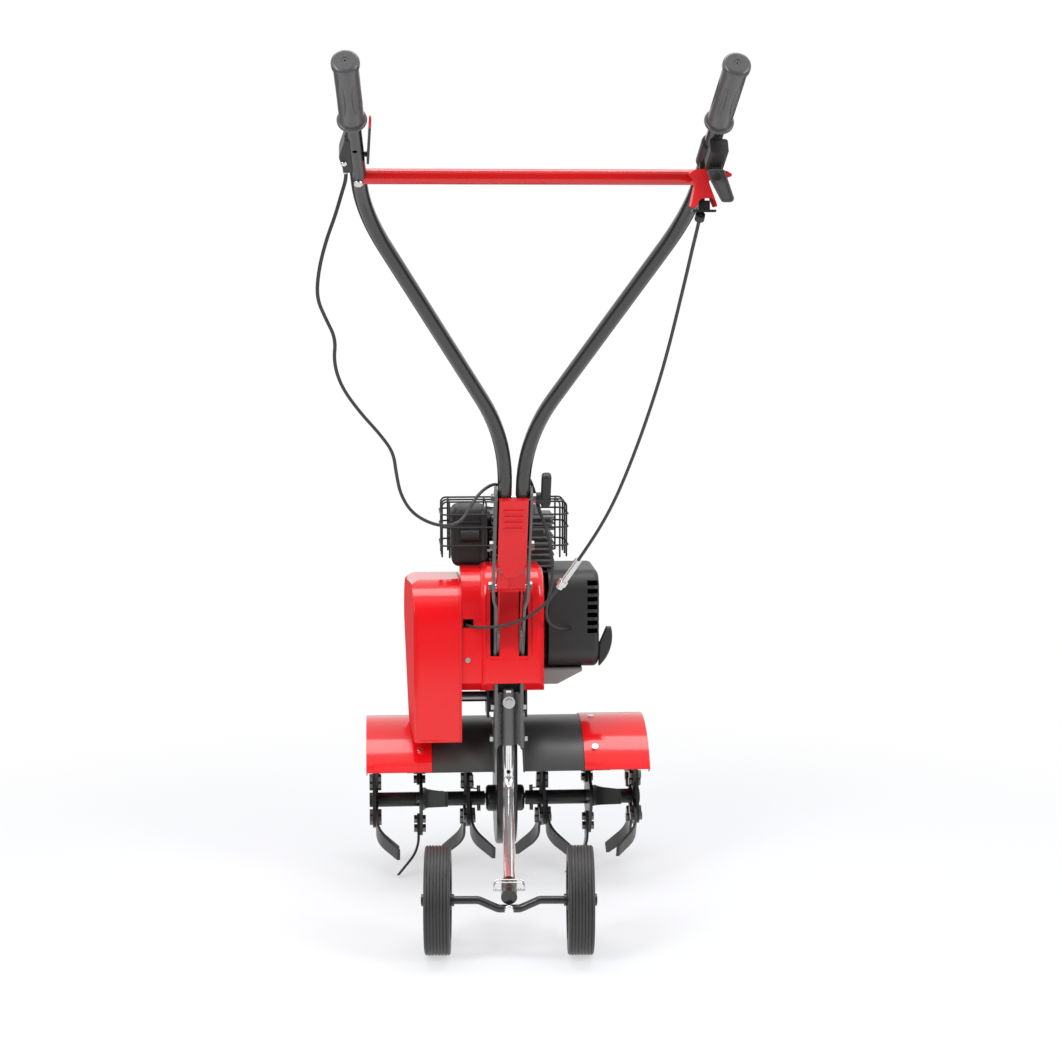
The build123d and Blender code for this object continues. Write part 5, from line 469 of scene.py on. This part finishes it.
laid_cord(
    "clutch_cable_line", "clutch_cable", clutch_route, 0.955, clutch_bend,
    stiffness="stiff", lay="hanging", with_pieces=[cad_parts["cable_adjuster"]],
)
throttle_route = [
    (0.014, -0.2695, 0.6952), (0.0245, -0.2435, 0.6865), (0.0335, -0.2308, 0.6626), (0.040, -0.229, 0.637),
    (0.051, -0.222, 0.609), (0.061, -0.210, 0.573), (0.066, -0.190, 0.528), (0.061, -0.168, 0.492),
    (0.057, -0.150, 0.462), (0.063, -0.137, 0.442), (0.078, -0.118, 0.430), (0.097, -0.090, 0.424),
    (0.103, -0.066, 0.422),
]
throttle_bend = [(0.051, -0.222, 0.609), (0.103, -0.066, 0.422)]
laid_cord(
    "throttle_cable_line", "throttle_cable", throttle_route, 0.389, throttle_bend,
    stiffness="stiff", lay="hanging",
)
dress(zinc, "cable_adjuster")


# Starter: a moulded pull handle on the recoil rope. The rope lies in the guide of the blower and is drawn out
# of it.

dress(engine_plastic, "starter_handle")
guide = below_axle + Vector((0.160, -0.048, 0.384))
rope_radius = 0.0027
rope_sides = 12
rope_ends = (0.015, -0.009)
rope_steps = 24
strands = 3
strand_groove = 0.08
drawing = bmesh.new()
rings = []
for step in range(rope_steps + 1):
    ahead = rope_ends[0] + (rope_ends[1] - rope_ends[0]) * step / rope_steps
    ring = []
    for side in range(rope_sides):
        turn = 2 * math.pi * side / rope_sides
        strand = rope_radius * (1 - strand_groove * abs(math.sin(strands / 2 * turn + step)))
        place = Vector((strand * math.cos(turn), ahead, strand * math.sin(turn)))
        ring.append(drawing.verts.new(guide + place))
    rings.append(ring)
for near, far in zip(rings, rings[1:]):
    for side in range(rope_sides):
        other = (side + 1) % rope_sides
        drawing.faces.new((near[side], near[other], far[other], far[side]))
drawing.faces.new(rings[0][::-1])
drawing.faces.new(rings[-1])
bmesh.ops.recalc_face_normals(drawing, faces=drawing.faces)
rope_mesh = bpy.data.meshes.new("starter_rope")
drawing.to_mesh(rope_mesh)
drawing.free()
rope_mesh.polygons.foreach_set("use_smooth", [True] * len(rope_mesh.polygons))
rope = bpy.data.objects.new("starter_rope", rope_mesh)
bpy.context.collection.objects.link(rope)
rope_nylon = coat(
    "rope_nylon", (grey(0.03), grey(0.22)), (0.6, 0.75), patch=0.0012, grain=0.0006, depth=0.0002,
    edge=0.0002,
)
rope_mesh.materials.append(rope_nylon)
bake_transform(rope)


# Wheel strut: chromed steel tube in its holder, with the bent black axle rod welded to a socket at its foot.
# A wire clip goes through the socket, and a domed bolt through the axle.

chrome = coat(
    "strut_plating", (grey(0.92), grey(0.96)), (0.07, 0.13), patch=0.03, grain=0.004, depth=0.00001,
    edge=0.0003, Metallic=0.8,
)
dress(chrome, "wheel_strut")
dress(tube_coat, "wheel_axle")


# Transport wheels: hard black plastic, moulded in one piece and grooved round the tread, with mould grain and
# rubbed ribs. They turn on the ends of the axle rod.

wheel_plastic = coat(
    "wheel_plastic", (grey(0.026), grey(0.040)), (0.42, 0.6), patch=0.02, grain=0.001, depth=0.00008,
    worn=grey(0.11), edge=0.001,
)
dress(wheel_plastic, "wheel_left", "wheel_right")


# Studio: a white sweep under and behind the machine. What shines sees it white round the machine and dark
# towards the camera, where the room begins, and soft boxes stand to the left, to the right and overhead.

def ray(tree, *kinds):
    """1 for rays of these kinds, and 0 for the rest."""
    outputs = tree.nodes.new("ShaderNodeLightPath").outputs
    total = Wire(tree, outputs[kinds[0]])
    for kind in kinds[1:]:
        total = total + Wire(tree, outputs[kind])
    return total.add("Math", {0: total, 1: 1.0}, operation="MINIMUM")


sweep_size = 60.0
sweep_drop = 0.0005
shadow_fades = (0.7, 1.7, 0.55, 1.0)
floor_darkens = (1.4, 2.1, 0.0, 0.9)
room_darkens = (0.45, 0.85, 0.0, 0.92)
room_light = 0.5
bpy.ops.mesh.primitive_plane_add(size=sweep_size, location=(0.0, 0.0, -sweep_drop))
floor = bpy.context.object
floor.name = "white_floor"
floor_paint = bpy.data.materials.new("white_sweep")
floor_paint.use_nodes = True
floor_tree = floor_paint.node_tree
floor_tree.nodes.remove(floor_tree.nodes["Principled BSDF"])
seen = ray(floor_tree, "Is Camera Ray")
mirrored = ray(floor_tree, "Is Glossy Ray", "Is Transmission Ray")
spot = seen.add("TexCoord", {}, out="Object")
far = seen.add("VectorMath", {0: spot}, out="Value", operation="LENGTH")
clear = far.fade(*shadow_fades, interpolation_type="SMOOTHSTEP")
dim = far.fade(*floor_darkens, interpolation_type="SMOOTHSTEP")
matt = seen.add("BsdfDiffuse", {"Color": (0.89, 0.91, 0.97, 1.0)})
glow = seen.add("Emission", {"Color": grey(1.0), "Strength": 1.0})
unlit = seen.add("Emission", {"Color": grey(0.0), "Strength": 0.0})
lit = seen.add("MixShader", {0: seen * clear + mirrored, 1: matt, 2: glow})
sweep = seen.add("MixShader", {0: mirrored * dim, 1: lit, 2: unlit})
sweep.into(floor_tree.nodes["Material Output"], "Surface")
floor.data.materials.append(floor_paint)

world = bpy.data.worlds.new("studio")
world.use_nodes = True
bpy.context.scene.world = world
around = world.node_tree
around.nodes.remove(around.nodes["Background"])
seen = ray(around, "Is Camera Ray", "Is Glossy Ray", "Is Transmission Ray")
mirrored = ray(around, "Is Glossy Ray")
back = 0.0 - seen.add("TexCoord", {}, out="Generated").along("Y")
dim = back.fade(*room_darkens, interpolation_type="SMOOTHSTEP")
room = seen.add("Background", {"Color": grey(1.0), "Strength": room_light})
white = seen.add("Background", {"Color": grey(1.0), "Strength": 1.0})
unlit = seen.add("Background", {"Color": grey(0.0), "Strength": 0.0})
lit = seen.add("MixShader", {0: seen, 1: room, 2: white})
seen.add("MixShader", {0: mirrored * dim, 1: lit, 2: unlit}).into(around.nodes["World Output"], "Surface")
machine_middle = Vector((0.0, 0.2, 0.55))


def soft_box(name, place, size, power):
    """Rectangular lamp turned to the middle of the machine."""
    lamp = bpy.data.lights.new(name, "AREA")
    lamp.shape = "RECTANGLE"
    lamp.size, lamp.size_y = size
    lamp.energy = power
    held = bpy.data.objects.new(name, lamp)
    held.location = place
    held.rotation_mode = "QUATERNION"
    held.rotation_quaternion = (machine_middle - Vector(place)).to_track_quat("-Z", "Y")
    bpy.context.collection.objects.link(held)


soft_box("left_box", (-1.9, -1.9, 2.0), (0.9, 1.7), 42.0)
soft_box("right_box", (2.1, -1.7, 1.7), (0.9, 1.5), 32.0)
soft_box("top_box", (0.0, 0.3, 3.0), (2.2, 1.2), 34.0)

frame_pixels = 1062.0
focal_pixels = 2177.0
film_width = 36.0
eye = Vector((-0.199, -3.562, 1.0))
looks_down = 6.8
looks_right = 3.9
camera = bpy.data.objects.new("camera", bpy.data.cameras.new("camera"))
camera.data.sensor_width = film_width
camera.data.lens = film_width * focal_pixels / frame_pixels
camera.location = below_axle + eye
camera.rotation_euler = (math.radians(90.0 - looks_down), 0.0, math.radians(-looks_right))
camera.data.clip_end = 100.0
bpy.context.collection.objects.link(camera)
bpy.context.scene.camera = camera
bpy.context.scene.view_settings.view_transform = "Standard"
